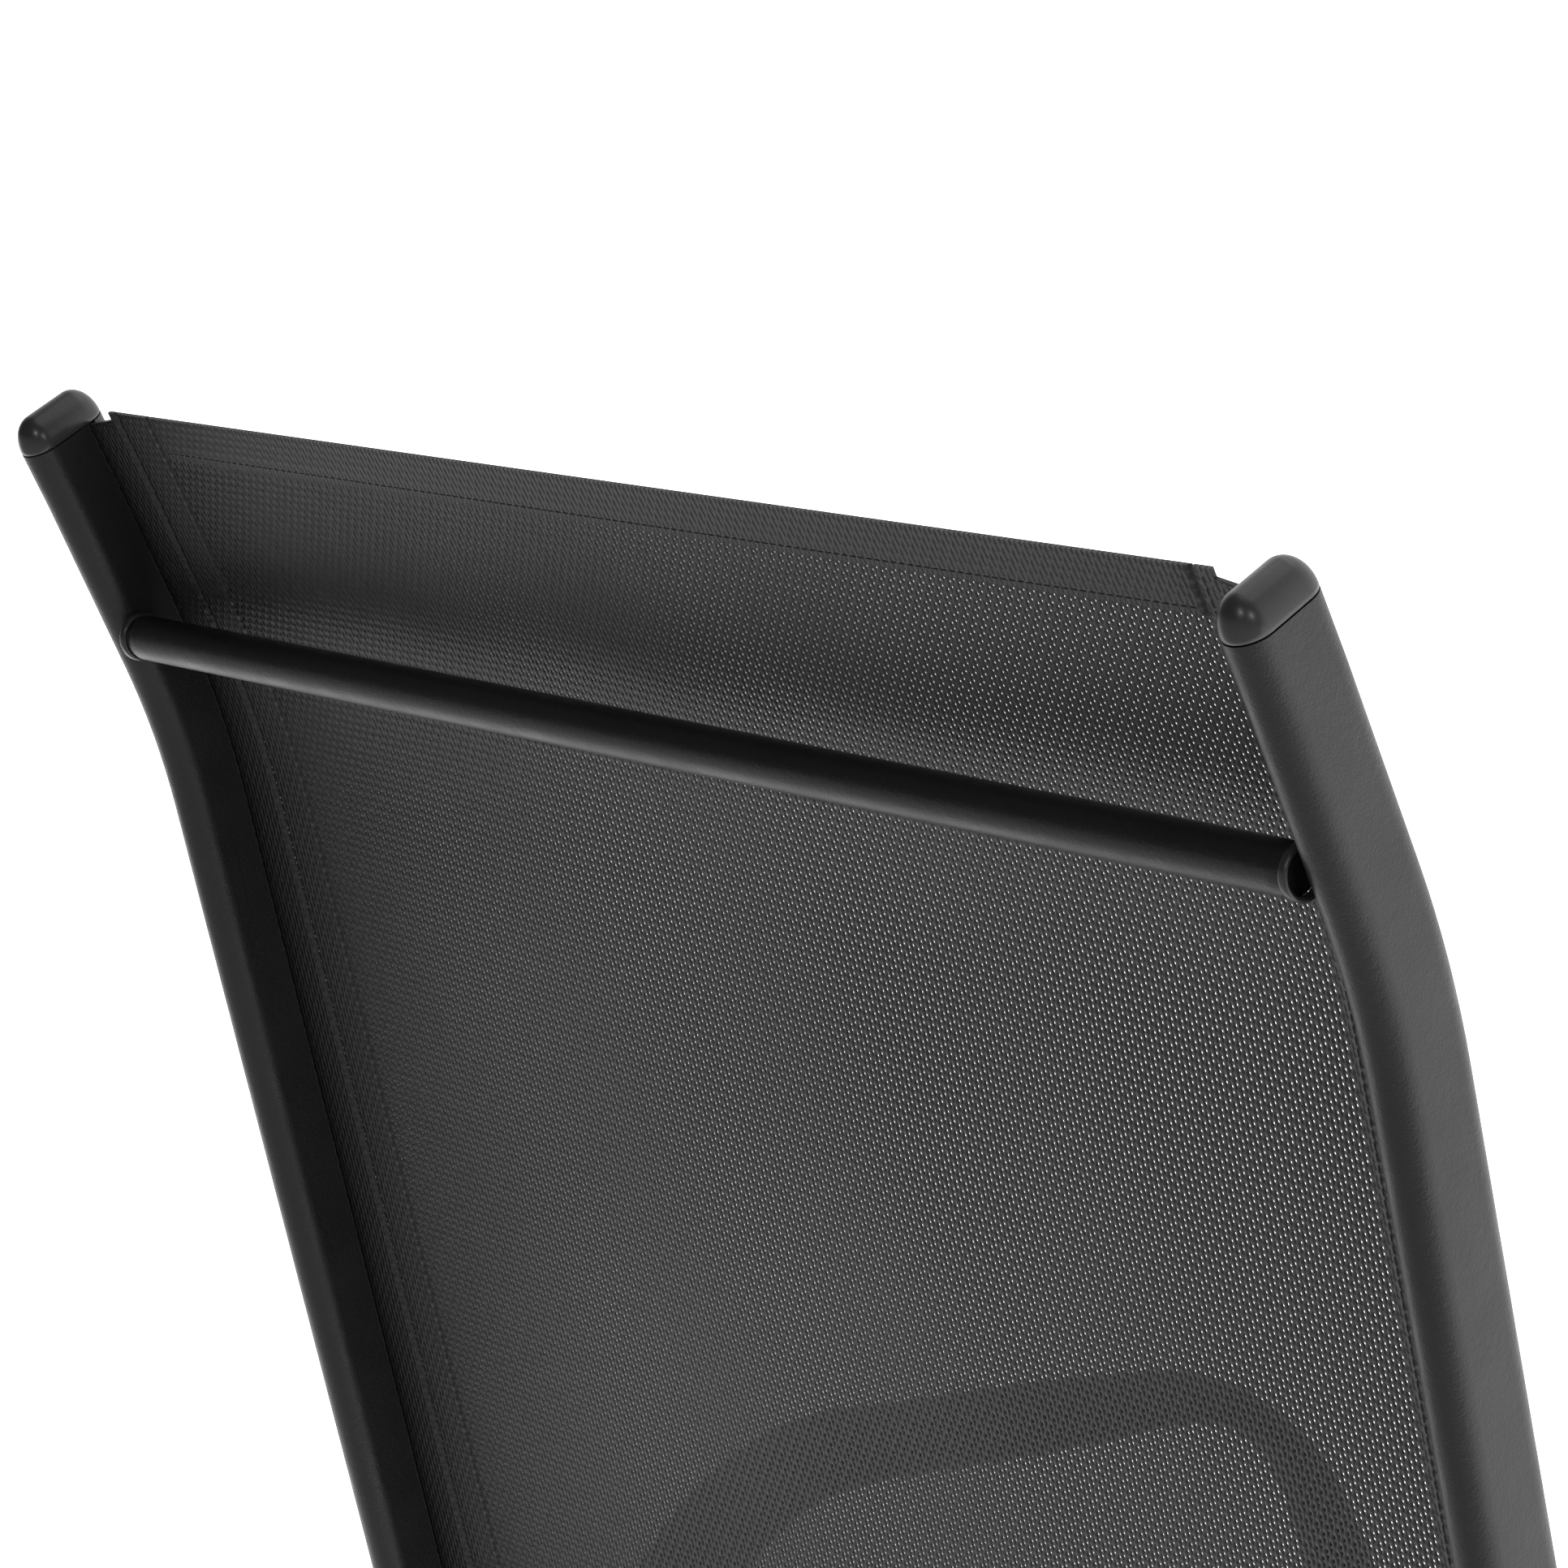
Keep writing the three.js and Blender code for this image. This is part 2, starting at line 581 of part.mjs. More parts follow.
// ---------- Hinge ----------
function hinges() {
  for (const [name, side] of SIDES) {
    const gapMiddle = BACK_X + RAIL_R + BACK_SIDE_CLEARANCE / 2;
    const bushing = ringX(BUSHING_DIAMETER / 2, PIVOT_DIAMETER / 2 + GAP,
      BACK_SIDE_CLEARANCE - 2 * GAP, side * gapMiddle, HINGE_Y, SEAT_HEIGHT);
    add(lounger, `pivot_bushing_${name}`, bushing, plastic);
    const nutInner = BACK_CLEAR_WIDTH / 2 - GAP - PIVOT_NUT_LENGTH;
    const pin = bolt(PIVOT_DIAMETER, PIVOT_HEAD, PIVOT_HEAD_LENGTH, side,
      nutInner - PIVOT_TIP, BASE_X + RAIL_R + GAP);
    add(lounger, `pivot_bolt_${name}`, pin.translate(0, HINGE_Y, SEAT_HEIGHT), steel);
    const nut = cut(
      rodX(PIVOT_NUT_WIDTH / 2, PIVOT_NUT_LENGTH, side * (nutInner + PIVOT_NUT_LENGTH / 2), 0, 0, 6),
      rodX(PIVOT_DIAMETER / 2 + GAP, PIVOT_NUT_LENGTH * 3, side * nutInner, 0, 0));
    add(lounger, `pivot_nut_${name}`, nut.translate(0, HINGE_Y, SEAT_HEIGHT), steel);
  }
}

// ---------- Backrest ----------
// Its own frame: the origin is the hinge, +Z runs up the rails, +Y faces the sitter
const back = new THREE.Group();
back.position.set(0, HINGE_Y, SEAT_HEIGHT);
back.rotation.x = rad(90 - BACK_ANGLE);
lounger.add(back);

const neckDir = rad(90 + BEND_ANGLE);
const topDir = rad(90 + BEND_ANGLE + HEAD_BEND);
const neckEnd = [NECK_LENGTH * Math.cos(neckDir), BACK_REACH + NECK_LENGTH * Math.sin(neckDir)];
const backRoute = route([
  [0, -BACK_STUB, 0],
  [0, BACK_REACH, BEND_RADIUS],
  [...neckEnd, HEAD_RADIUS],
  [neckEnd[0] + TOP_LENGTH * Math.cos(topDir), neckEnd[1] + TOP_LENGTH * Math.sin(topDir), 0],
], rad(2.7));

function backrest() {
  const length = routeLength(backRoute);
  const part = trimmed(backRoute, BACK_STUB + BACK_SLING_START, length - GAP);
  for (const [name, side] of SIDES) {
    const x = side * BACK_X;
    const pivot = rodX(PIVOT_DIAMETER / 2 + GAP, RAIL_WIDTH * 2, x, 0, 0);
    const bailHole = rodX(BAIL_BOLT / 2 + GAP, RAIL_WIDTH * 2, x, -BAIL_PIVOT_BEHIND, BAIL_PIVOT_UP);
    add(back, `back_rail_${name}`, cut(sweep(railShape(side), backRoute, x), pivot, bailHole), paint);
    placeCap(back, `back_top_cap_${name}`, side, backRoute.at(-1), x, 1);
    placeCap(back, `back_bottom_cap_${name}`, side, backRoute[0], x, -1);
    spline(back, `back_spline_${name}`, side, x, part);
  }
  const end = backRoute.at(-1);
  const above = (d) => ({
    y: end.y + d * Math.cos(end.dir),
    z: end.z + d * Math.sin(end.dir),
    dir: end.dir,
  });
  const hem = sweep(slingShape(BACK_CLEAR_WIDTH / 2 - SLING_ABOVE_INSET),
    [above(-GAP - BITE), above(SLING_ABOVE)]);
  add(back, "back_sling", join(sweep(slingShape(slingHalf(BACK_X)), part), hem), mesh);

  const r = BACK_BAR_DIAMETER / 2;
  const face = BACK_CLEAR_WIDTH / 2 - GAP;
  const lower = ringX(r, r - RAIL_WALL, 2 * face, 0, -LOWER_BAR_BEHIND, LOWER_BAR_UP);
  add(back, "back_lower_bar", lower, paint);
  const y = BACK_BAR_UP * Math.cos(neckDir) - BACK_BAR_BEHIND * Math.sin(neckDir);
  const z = BACK_REACH + BACK_BAR_UP * Math.sin(neckDir) + BACK_BAR_BEHIND * Math.cos(neckDir);
  const barEnd = face - COLLAR_LENGTH - GAP;
  add(back, "back_upper_bar", ringX(r, r - RAIL_WALL, 2 * barEnd, 0, y, z), paint);
  for (const [name, side] of SIDES) {
    const collar = ringX(COLLAR_DIAMETER / 2, r - RAIL_WALL, COLLAR_LENGTH,
      side * (face - COLLAR_LENGTH / 2), y, z);
    add(back, `back_bar_collar_${name}`, collar, plastic);
  }
}

// ---------- Prop bail ----------
// Height of the bail's pivot over the hinge and its distance behind it, with the back at an angle
function bailPivot(angle) {
  const a = rad(angle);
  return {
    behind: BAIL_PIVOT_UP * Math.cos(a) + BAIL_PIVOT_BEHIND * Math.sin(a),
    height: BAIL_PIVOT_UP * Math.sin(a) - BAIL_PIVOT_BEHIND * Math.cos(a),
  };
}

// Where the foot bar stands behind the hinge when it sits in its notch
function footBehind(angle) {
  const { behind, height } = bailPivot(angle);
  return behind + Math.sqrt(BAIL_LENGTH ** 2 - (height + FOOT_BAR_DROP) ** 2);
}

function bail() {
  const group = new THREE.Group();
  const upright = bailPivot(BACK_ANGLE);
  const slope = Math.asin((upright.height + FOOT_BAR_DROP) / BAIL_LENGTH);
  group.position.set(0, -BAIL_PIVOT_BEHIND, BAIL_PIVOT_UP);
  // local -Z runs down the bail to its foot bar
  group.rotation.x = slope - Math.PI / 2 - rad(90 - BACK_ANGLE);
  back.add(group);
  const outline = new THREE.Shape(ovalPoints(BAIL_LENGTH + BAIL_WIDTH, BAIL_WIDTH));
  const footHole = FOOT_BAR_DIAMETER / 2 + GAP;
  for (const [name, side] of SIDES) {
    const plate = new THREE.ExtrudeGeometry(outline, { depth: BAIL_THICKNESS, bevelEnabled: false });
    plate.rotateY(Math.PI / 2).translate(side * BAIL_X - BAIL_THICKNESS / 2, 0, -BAIL_LENGTH / 2);
    const arm = cut(plate,
      rodX(BAIL_BOLT / 2 + GAP, BAIL_WIDTH * 2, side * BAIL_X, 0, 0),
      rodX(footHole, BAIL_WIDTH * 2, side * BAIL_X, 0, -BAIL_LENGTH));
    add(group, `bail_arm_${name}`, arm, paint);
  }
  const reach = BASE_X + RACK_THICKNESS / 2 + FOOT_BAR_OVERHANG;
  add(group, "bail_foot_bar", rodX(FOOT_BAR_DIAMETER / 2, 2 * reach, 0, 0, -BAIL_LENGTH), steel);

  for (const [name, side] of SIDES) {
    const washerX = BACK_CLEAR_WIDTH / 2 - GAP - BAIL_WASHER_LENGTH / 2;
    const washer = ringX(BAIL_WIDTH / 2, BAIL_BOLT / 2 + GAP, BAIL_WASHER_LENGTH, side * washerX, 0, 0);
    washer.translate(0, -BAIL_PIVOT_BEHIND, BAIL_PIVOT_UP);
    add(back, `bail_washer_${name}`, washer, plastic);
    const headFace = BAIL_X - BAIL_THICKNESS / 2 - GAP;
    const pin = bolt(BAIL_BOLT, LEG_BOLT_HEAD, LEG_BOLT_HEAD_LENGTH, side, 0, BACK_X + RAIL_R - headFace);
    // the head bears on the bail's inner face and the shank ends in the rail's outer wall
    pin.rotateZ(Math.PI).translate(side * (BACK_X + RAIL_R), -BAIL_PIVOT_BEHIND, BAIL_PIVOT_UP);
    add(back, `bail_bolt_${name}`, pin, steel);
  }
}

// The rack plates hang below the base rails; the foot bar rides in their long windows
function racks() {
  const reach = FOOT_BAR_DIAMETER / 2;
  const toothLine = -FOOT_BAR_DROP - reach - RACK_TOOTH_CLEARANCE;
  const windowTop = -FOOT_BAR_DROP + reach + RACK_LIFT - RACK_TOOTH_CLEARANCE;
  const top = -RAIL_DEPTH / 2 - GAP;
  const bottom = toothLine - RACK_NOTCH_DEPTH - RACK_EDGE;
  const spots = RACK_ANGLES.map(footBehind);
  const near = Math.min(...spots) - reach - RACK_EDGE / 2;
  const far = Math.max(...spots) + reach + RACK_EDGE / 2;
  const outline = new THREE.Shape([
    new THREE.Vector2(near - RACK_EDGE, bottom),
    new THREE.Vector2(far + RACK_EDGE, bottom),
    new THREE.Vector2(far + RACK_EDGE, top),
    new THREE.Vector2(near - RACK_EDGE, top),
  ]);
  const half = RACK_NOTCH_WIDTH / 2;
  const edge = [new THREE.Vector2(near, windowTop), new THREE.Vector2(near, toothLine)];
  for (const spot of spots) {
    const floor = toothLine - RACK_NOTCH_DEPTH + half;
    edge.push(new THREE.Vector2(spot - half, toothLine));
    edge.push(...arc(spot, floor, half, Math.PI, Math.PI * 2, 6));
    edge.push(new THREE.Vector2(spot + half, toothLine));
  }
  edge.push(new THREE.Vector2(far, toothLine), new THREE.Vector2(far, windowTop));
  outline.holes.push(new THREE.Path(edge));
  for (const [name, side] of SIDES) {
    const plate = new THREE.ExtrudeGeometry(outline, { depth: RACK_THICKNESS, bevelEnabled: false });
    // the outline's first axis runs rearwards from the hinge
    plate.rotateX(Math.PI / 2).rotateZ(-Math.PI / 2);
    plate.translate(side * BASE_X + RACK_THICKNESS / 2, HINGE_Y, SEAT_HEIGHT);
    add(lounger, `rack_plate_${name}`, plate, paint);
  }
}

baseRails();
seat();
legs();
armrests();
hinges();
backrest();
bail();
racks();

export default lounger;
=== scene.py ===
# %% [markdown]
# # A reclining sun lounger
# The lounger is a painted tube frame with two mesh slings. The backrest hinges on the base, and a
# bail behind it drops its foot bar into one of six notches. The frame's solids are already designed
# and jointed, so this file only gives them their finished surfaces, their cloth and their light.

# %% Load the frame
import json
import math

import bmesh
import bpy
from mathutils import Matrix, Vector


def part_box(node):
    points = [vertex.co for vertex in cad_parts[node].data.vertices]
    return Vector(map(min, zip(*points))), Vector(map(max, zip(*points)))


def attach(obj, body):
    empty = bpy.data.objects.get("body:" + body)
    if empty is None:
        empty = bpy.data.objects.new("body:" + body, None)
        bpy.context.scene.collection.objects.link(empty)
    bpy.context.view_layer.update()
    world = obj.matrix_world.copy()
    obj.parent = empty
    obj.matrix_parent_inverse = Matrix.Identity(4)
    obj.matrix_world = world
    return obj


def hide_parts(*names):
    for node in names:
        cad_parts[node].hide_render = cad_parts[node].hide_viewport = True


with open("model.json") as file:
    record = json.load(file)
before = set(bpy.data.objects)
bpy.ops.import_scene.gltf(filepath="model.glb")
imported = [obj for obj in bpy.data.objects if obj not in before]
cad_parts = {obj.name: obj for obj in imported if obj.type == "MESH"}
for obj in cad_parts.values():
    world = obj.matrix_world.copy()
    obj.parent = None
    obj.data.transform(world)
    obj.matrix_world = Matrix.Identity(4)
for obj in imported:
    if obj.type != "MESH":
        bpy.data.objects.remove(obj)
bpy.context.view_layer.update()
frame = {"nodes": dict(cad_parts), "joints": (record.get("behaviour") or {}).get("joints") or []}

MM = 0.001
SIDES = (("left", -1), ("right", 1))

# %% [markdown]
# ## The camera
# The view is a close one from behind and to the right, a little above the headrest. A long lens keeps
# the two rails nearly parallel. The camera could be placed by typing in its coordinates, but tying it
# to the cross bar behind the headrest means that it follows if the backrest changes.

# %% Camera
VIEW_AZIMUTH = math.radians(50.33)
VIEW_ELEVATION = math.radians(9.86)
VIEW_DISTANCE = 1.476
AIM_RIGHT = 0.04175
AIM_DOWN = 0.01357
LENS_MM = 115.55


def middle(node):
    low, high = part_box(node)
    return (low + high) / 2


def look_from(azimuth, elevation):
    """The camera's right, up and backward directions, for a view from that azimuth and elevation."""
    level = math.cos(elevation)
    back = Vector((math.sin(azimuth) * level, -math.cos(azimuth) * level, math.sin(elevation)))
    right = Vector((math.cos(azimuth), math.sin(azimuth), 0))
    return right, back.cross(right), back


right, up, back = look_from(VIEW_AZIMUTH, VIEW_ELEVATION)
aim = middle("back_upper_bar") + right * AIM_RIGHT - up * AIM_DOWN
camera_data = bpy.data.cameras.new("view")
camera_data.lens = LENS_MM
camera_data.clip_end = 100
camera = bpy.data.objects.new("view", camera_data)
camera.location = aim + back * VIEW_DISTANCE
camera.rotation_mode = "QUATERNION"
camera.rotation_quaternion = back.to_track_quat("Z", "Y")
bpy.context.scene.collection.objects.link(camera)
bpy.context.scene.camera = camera
print("camera at", [round(x, 3) for x in camera.location])

# %% [markdown]
# ## The studio
# A pale floor and soft white surroundings are all that the lounger needs. Dark paint shows little of
# its own colour and mostly what it mirrors, so the surroundings matter more than the lamps: sky and
# floor are white beyond the lounger and dim behind the camera. The floor also glows: a painted glow,
# strong beyond the lounger, that fades to painted shade towards the camera. The Standard view keeps white as
# white.

# %% Surroundings and floor
bpy.context.scene.view_settings.view_transform = "Standard"

WHITE_SIDE = Vector((-0.1, 1.0, 0.0)).normalized()
DIM, WHITE = 0.05, 1.25
DIM_BELOW, WHITE_ABOVE = -0.15, 0.45
FLOOR_RADIUS, FLOOR_SIDES = 14.0, 96
FLOOR_SHADE, FLOOR_ROUGHNESS = 0.75, 0.9
SHADE_START, SHADE_END = -0.3, -1.1
FLOOR_DIM, FLOOR_GLOW = 0.03, 1.5


class Wires:
    """Adds nodes to a tree, and joins or sets their inputs, so that a formula reads as a few calls."""

    def __init__(self, tree):
        self.tree = tree

    def node(self, kind, inputs=None, **settings):
        made = self.tree.nodes.new(kind)
        for name, value in settings.items():
            setattr(made, name, value)
        for name, value in (inputs or {}).items():
            self.put(made.inputs[name], value)
        return made

    def put(self, socket, value):
        if isinstance(value, bpy.types.NodeSocket):
            self.tree.links.new(value, socket)
        else:
            socket.default_value = value

    def math(self, operation, *values):
        made = self.tree.nodes.new("ShaderNodeMath")
        made.operation = operation
        for socket, value in zip(made.inputs, values):
            self.put(socket, value)
        return made.outputs[0]

    def ramp(self, value, start, end, low=0.0, high=1.0, smooth=False):
        """value from start to end, brought to low to high and held there beyond."""
        made = self.node("ShaderNodeMapRange", interpolation_type="SMOOTHSTEP" if smooth else "LINEAR")
        for name, number in (("From Min", start), ("From Max", end), ("To Min", low), ("To Max", high)):
            made.inputs[name].default_value = number
        self.put(made.inputs["Value"], value)
        return made.outputs[0]

    def noise(self, vector, scale, detail=2.0, roughness=0.5):
        made = self.node("ShaderNodeTexNoise", {"Vector": vector, "Scale": scale, "Detail": detail})
        made.inputs["Roughness"].default_value = roughness
        return made.outputs[0]


world = bpy.data.worlds.new("studio")
world.use_nodes = True
bpy.context.scene.world = world
wires = Wires(world.node_tree)
sky = wires.node("ShaderNodeTexCoord").outputs["Generated"]
facing = wires.node("ShaderNodeVectorMath", {0: sky, 1: WHITE_SIDE}, operation="DOT_PRODUCT")
glow = wires.ramp(facing.outputs["Value"], DIM_BELOW, WHITE_ABOVE, DIM, WHITE, smooth=True)
wires.put(world.node_tree.nodes["Background"].inputs["Strength"], glow)
world.node_tree.nodes["Background"].inputs["Color"].default_value = (1, 1, 1, 1)


def new_object(name, data):
    made = bpy.data.objects.new(name, data)
    bpy.context.scene.collection.objects.link(made)
    return made


def disc(name, radius, segments):
    bm = bmesh.new()
    bmesh.ops.create_circle(bm, cap_ends=True, segments=segments, radius=radius)
    data = bpy.data.meshes.new(name)
    bm.to_mesh(data)
    bm.free()
    return new_object(name, data)


floor = disc("floor", FLOOR_RADIUS, FLOOR_SIDES)
floor_paint = bpy.data.materials.new("pale_floor")
floor_paint.use_nodes = True
wires = Wires(floor_paint.node_tree)
place = wires.node("ShaderNodeTexCoord").outputs["Object"]
ahead = wires.node("ShaderNodeVectorMath", {0: place, 1: WHITE_SIDE}, operation="DOT_PRODUCT")
# Painted glow: the floor emits light, strong beyond the lounger, and fades to painted shade towards the
# camera.
lit = wires.ramp(ahead.outputs["Value"], SHADE_END, SHADE_START, FLOOR_DIM, FLOOR_GLOW, smooth=True)
shader = floor_paint.node_tree.nodes["Principled BSDF"]
shader.inputs["Base Color"].default_value = (FLOOR_SHADE, FLOOR_SHADE, FLOOR_SHADE, 1)
shader.inputs["Roughness"].default_value = FLOOR_ROUGHNESS
shader.inputs["Emission Color"].default_value = (1, 1, 1, 1)
wires.put(shader.inputs["Emission Strength"], lit)
floor.data.materials.append(floor_paint)


def softbox(name, place, target, size, power):
    """A round soft lamp at a place, facing its target; its size is in metres, its power in watts."""
    lamp = bpy.data.lights.new(name, "AREA")
    lamp.shape = "DISK"
    lamp.size = size
    lamp.energy = power
    made = new_object(name, lamp)
    made.location = place
    made.rotation_mode = "QUATERNION"
    made.rotation_quaternion = (Vector(place) - Vector(target)).to_track_quat("Z", "Y")


softbox("key_left", aim + back * 2.0 - right * 0.75 + up * 0.55, aim, 0.24, 5)
softbox("key_right", aim + back * 1.9 + right * 0.55 + up * 0.30, aim, 0.24, 3)
softbox("overhead", (0.3, -0.2, 3.2), (0, 0, 0.4), 2.4, 10)
print("studio: a floor, white surroundings and three soft lamps")

# %% [markdown]
# ## Finishes
# The tubes are powder coated: a near-black film with a fine orange-peel skin. It could be one flat
# colour, but then every tube would mirror the studio like glass. Noise at two sizes in the bump breaks
# the reflection up, and a slower noise makes the film a touch uneven, as a sprayed coat is.


# %% Paint, plastic, steel and cord
def finish(name, colour, roughness, specular=0.5, metallic=0.0):
    made = bpy.data.materials.new(name)
    made.use_nodes = True
    surface = made.node_tree.nodes["Principled BSDF"]
    surface.inputs["Base Color"].default_value = (*colour, 1)
    surface.inputs["Roughness"].default_value = roughness
    surface.inputs["Specular IOR Level"].default_value = specular
    surface.inputs["Metallic"].default_value = metallic
    return made, Wires(made.node_tree), surface


def uneven_colour(wires, surface, coordinates, colour, scale, spread):
    """The colour, made darker and lighter by a slow noise."""
    amount = wires.ramp(wires.noise(coordinates, scale, 3.0), 0.3, 0.7, 1 - spread, 1 + spread)
    shade = wires.node("ShaderNodeVectorMath", {0: colour, "Scale": amount}, operation="SCALE")
    wires.put(surface.inputs["Base Color"], shade.outputs["Vector"])


def grain(wires, surface, coordinates, layers):
    """Bump from several noises; each layer is its scale, its depth in metres and its detail."""
    normal = None
    for scale, depth, detail in layers:
        height = wires.noise(coordinates, scale, detail)
        bump = wires.node("ShaderNodeBump", {"Height": height, "Strength": 1.0, "Distance": depth})
        if normal is not None:
            wires.put(bump.inputs["Normal"], normal)
        normal = bump.outputs["Normal"]
    wires.put(surface.inputs["Normal"], normal)


def painted(name, colour, roughness, layers, spread=0.2, **settings):
    made, wires, surface = finish(name, colour, roughness, **settings)
    coordinates = wires.node("ShaderNodeTexCoord").outputs["Object"]
    uneven_colour(wires, surface, coordinates, colour, 9.0, spread)
    shine = wires.ramp(wires.noise(coordinates, 60.0, 3.0), 0.3, 0.7, roughness - 0.04, roughness + 0.05)
    wires.put(surface.inputs["Roughness"], shine)
    grain(wires, surface, coordinates, layers)
    return made


powder_coat = painted("powder_coat", (0.011, 0.011, 0.0115), 0.40,
                      [(1500.0, 0.00010, 1.0), (420.0, 0.00009, 2.0)])
satin_plastic = painted("satin_plastic", (0.034, 0.034, 0.035), 0.30,
                        [(900.0, 0.00003, 2.0), (90.0, 0.00010, 2.0)], spread=0.1)
moulded_nylon = painted("moulded_nylon", (0.016, 0.016, 0.0165), 0.50,
                        [(1800.0, 0.00008, 2.0)], spread=0.15)
zinc_steel = painted("zinc_steel", (0.52, 0.53, 0.55), 0.30,
                     [(700.0, 0.00002, 3.0)], spread=0.12, metallic=1.0)
keder_cord = painted("keder_cord", (0.014, 0.014, 0.014), 0.55,
                     [(800.0, 0.00006, 2.0)], spread=0.15)
sewing_thread = painted("sewing_thread", (0.020, 0.020, 0.021), 0.62,
                        [(2500.0, 0.00006, 2.0)], spread=0.3)
print("finishes:", [m.name for m in bpy.data.materials])

# %% [markdown]
# ## The mesh cloth
# The slings are woven from plastic-coated yarn. The yarns gather in pairs and leave a couple of small
# holes one above the other; each row of couples is set half a step across from the last. Real holes
# would take millions of faces, so the pattern is a formula on the cloth's own flat map: the distance
# to the nearest hole opens the cloth there, rounds the yarns beside it and darkens them towards the hole
# with painted shade. The cloth has a front and a back face a third of a millimetre apart, so at a slant
# the holes close up as real ones do.

# %% Mesh cloth
HOLE_STEP_ACROSS = 3.95 * MM
HOLE_STEP_ALONG = 5.50 * MM
HOLE_HALF_WIDTH = 0.34 * MM
HOLE_HALF_HEIGHT = 0.55 * MM
HOLE_FROM_COUPLE = 0.92 * MM
WHOLE_STEPS = 100
YARN = (0.016, 0.016, 0.0165)
YARN_HEIGHT, YARN_ROUGHNESS = 0.30 * MM, 0.48
LAYERS = "cloth_layers"


def nearest_hole(wires, across, along):
    """How far the nearest hole's middle is, in hole sizes: under 1 is inside it."""
    reach = None
    for half_step in (0.0, 0.5):
        cells = []
        for place, step in ((across, HOLE_STEP_ACROSS), (along, HOLE_STEP_ALONG)):
            cell = wires.math("FRACT", wires.math("MULTIPLY_ADD", place, 1 / step, WHOLE_STEPS + half_step))
            cells.append(wires.math("MULTIPLY", wires.math("SUBTRACT", cell, 0.5), step))
        x = wires.math("DIVIDE", cells[0], HOLE_HALF_WIDTH)
        above = wires.math("SUBTRACT", wires.math("ABSOLUTE", cells[1]), HOLE_FROM_COUPLE)
        y = wires.math("DIVIDE", above, HOLE_HALF_HEIGHT)
        both = wires.node("ShaderNodeCombineXYZ", {"X": x, "Y": y}).outputs[0]
        length = wires.node("ShaderNodeVectorMath", {0: both}, operation="LENGTH").outputs["Value"]
        reach = length if reach is None else wires.math("MINIMUM", reach, length)
    return reach


def mesh_cloth():
    made, wires, surface = finish("mesh_cloth", YARN, YARN_ROUGHNESS)
    flat_map = wires.node("ShaderNodeUVMap", uv_map="flat_cloth").outputs["UV"]
    parts = wires.node("ShaderNodeSeparateXYZ", {0: flat_map})
    reach = nearest_hole(wires, parts.outputs["X"], parts.outputs["Y"])
    hole = wires.ramp(reach, 0.88, 1.12, 1.0, 0.0)
    layers = wires.node("ShaderNodeAttribute", attribute_name=LAYERS).outputs["Fac"]
    single = wires.ramp(layers, 1.2, 1.8, 1.0, 0.0)
    wires.put(surface.inputs["Alpha"], wires.math("SUBTRACT", 1.0, wires.math("MULTIPLY", hole, single)))

    patches = wires.ramp(wires.noise(flat_map, 7.0, 3.0), 0.3, 0.7, 0.8, 1.25)
    # Painted shade: the yarn's colour darkens towards each hole, so the shut holes of a hem show dark.
    depth = wires.ramp(reach, 0.8, 3.0, 0.15, 1.0, smooth=True)
    patches_and_hole_shade = wires.math("MULTIPLY", patches, depth)
    shade = wires.node("ShaderNodeVectorMath", {0: YARN, "Scale": patches_and_hole_shade}, operation="SCALE")
    wires.put(surface.inputs["Base Color"], shade.outputs["Vector"])

    strand = wires.math("SINE", wires.math("MULTIPLY", parts.outputs["X"], math.tau * 2 / HOLE_STEP_ACROSS))
    rounded = wires.ramp(reach, 0.9, 3.2, 0.0, 1.0, smooth=True)
    height = wires.math("MULTIPLY_ADD", strand, 0.18, rounded)
    bump = wires.node("ShaderNodeBump", {"Height": height, "Strength": 0.9, "Distance": YARN_HEIGHT})
    wires.put(surface.inputs["Normal"], bump.outputs["Normal"])
    return made


woven = mesh_cloth()
print("cloth holes:", round(HOLE_STEP_ACROSS / MM, 2), "by", round(HOLE_STEP_ALONG / MM, 2), "mm apart")

# %% [markdown]
# ## Where the tubes run
# The base rails are straight. The back rails lean back, bend towards the rear at the cross bar, and
# lean a touch more at the headrest. One route carries the rails, the sling and its cord, so it is
# worked out once, as straight runs joined by arcs, in the plane of the side view.

# %% Routes
RAIL_WIDTH, RAIL_DEPTH = 16 * MM, 31 * MM
RAIL_ROUND = RAIL_WIDTH / 2
GROOVE_OFFSET = (RAIL_DEPTH - RAIL_WIDTH) / 2
BACK_STUB, BACK_REACH = 25 * MM, 615 * MM
BEND, BEND_RADIUS = math.radians(11.7), 280 * MM
NECK = 90 * MM
HEAD_BEND, HEAD_RADIUS = math.radians(1.2), 500 * MM
HEAD_LENGTH = 21 * MM

hinge = next(j for j in frame["joints"] if j["name"] == "back_recline")
HINGE = Vector(hinge["pos_m"])
RECLINE = math.radians(max(hinge["range_deg"]))
LEAN_BACK = math.pi / 2 - RECLINE


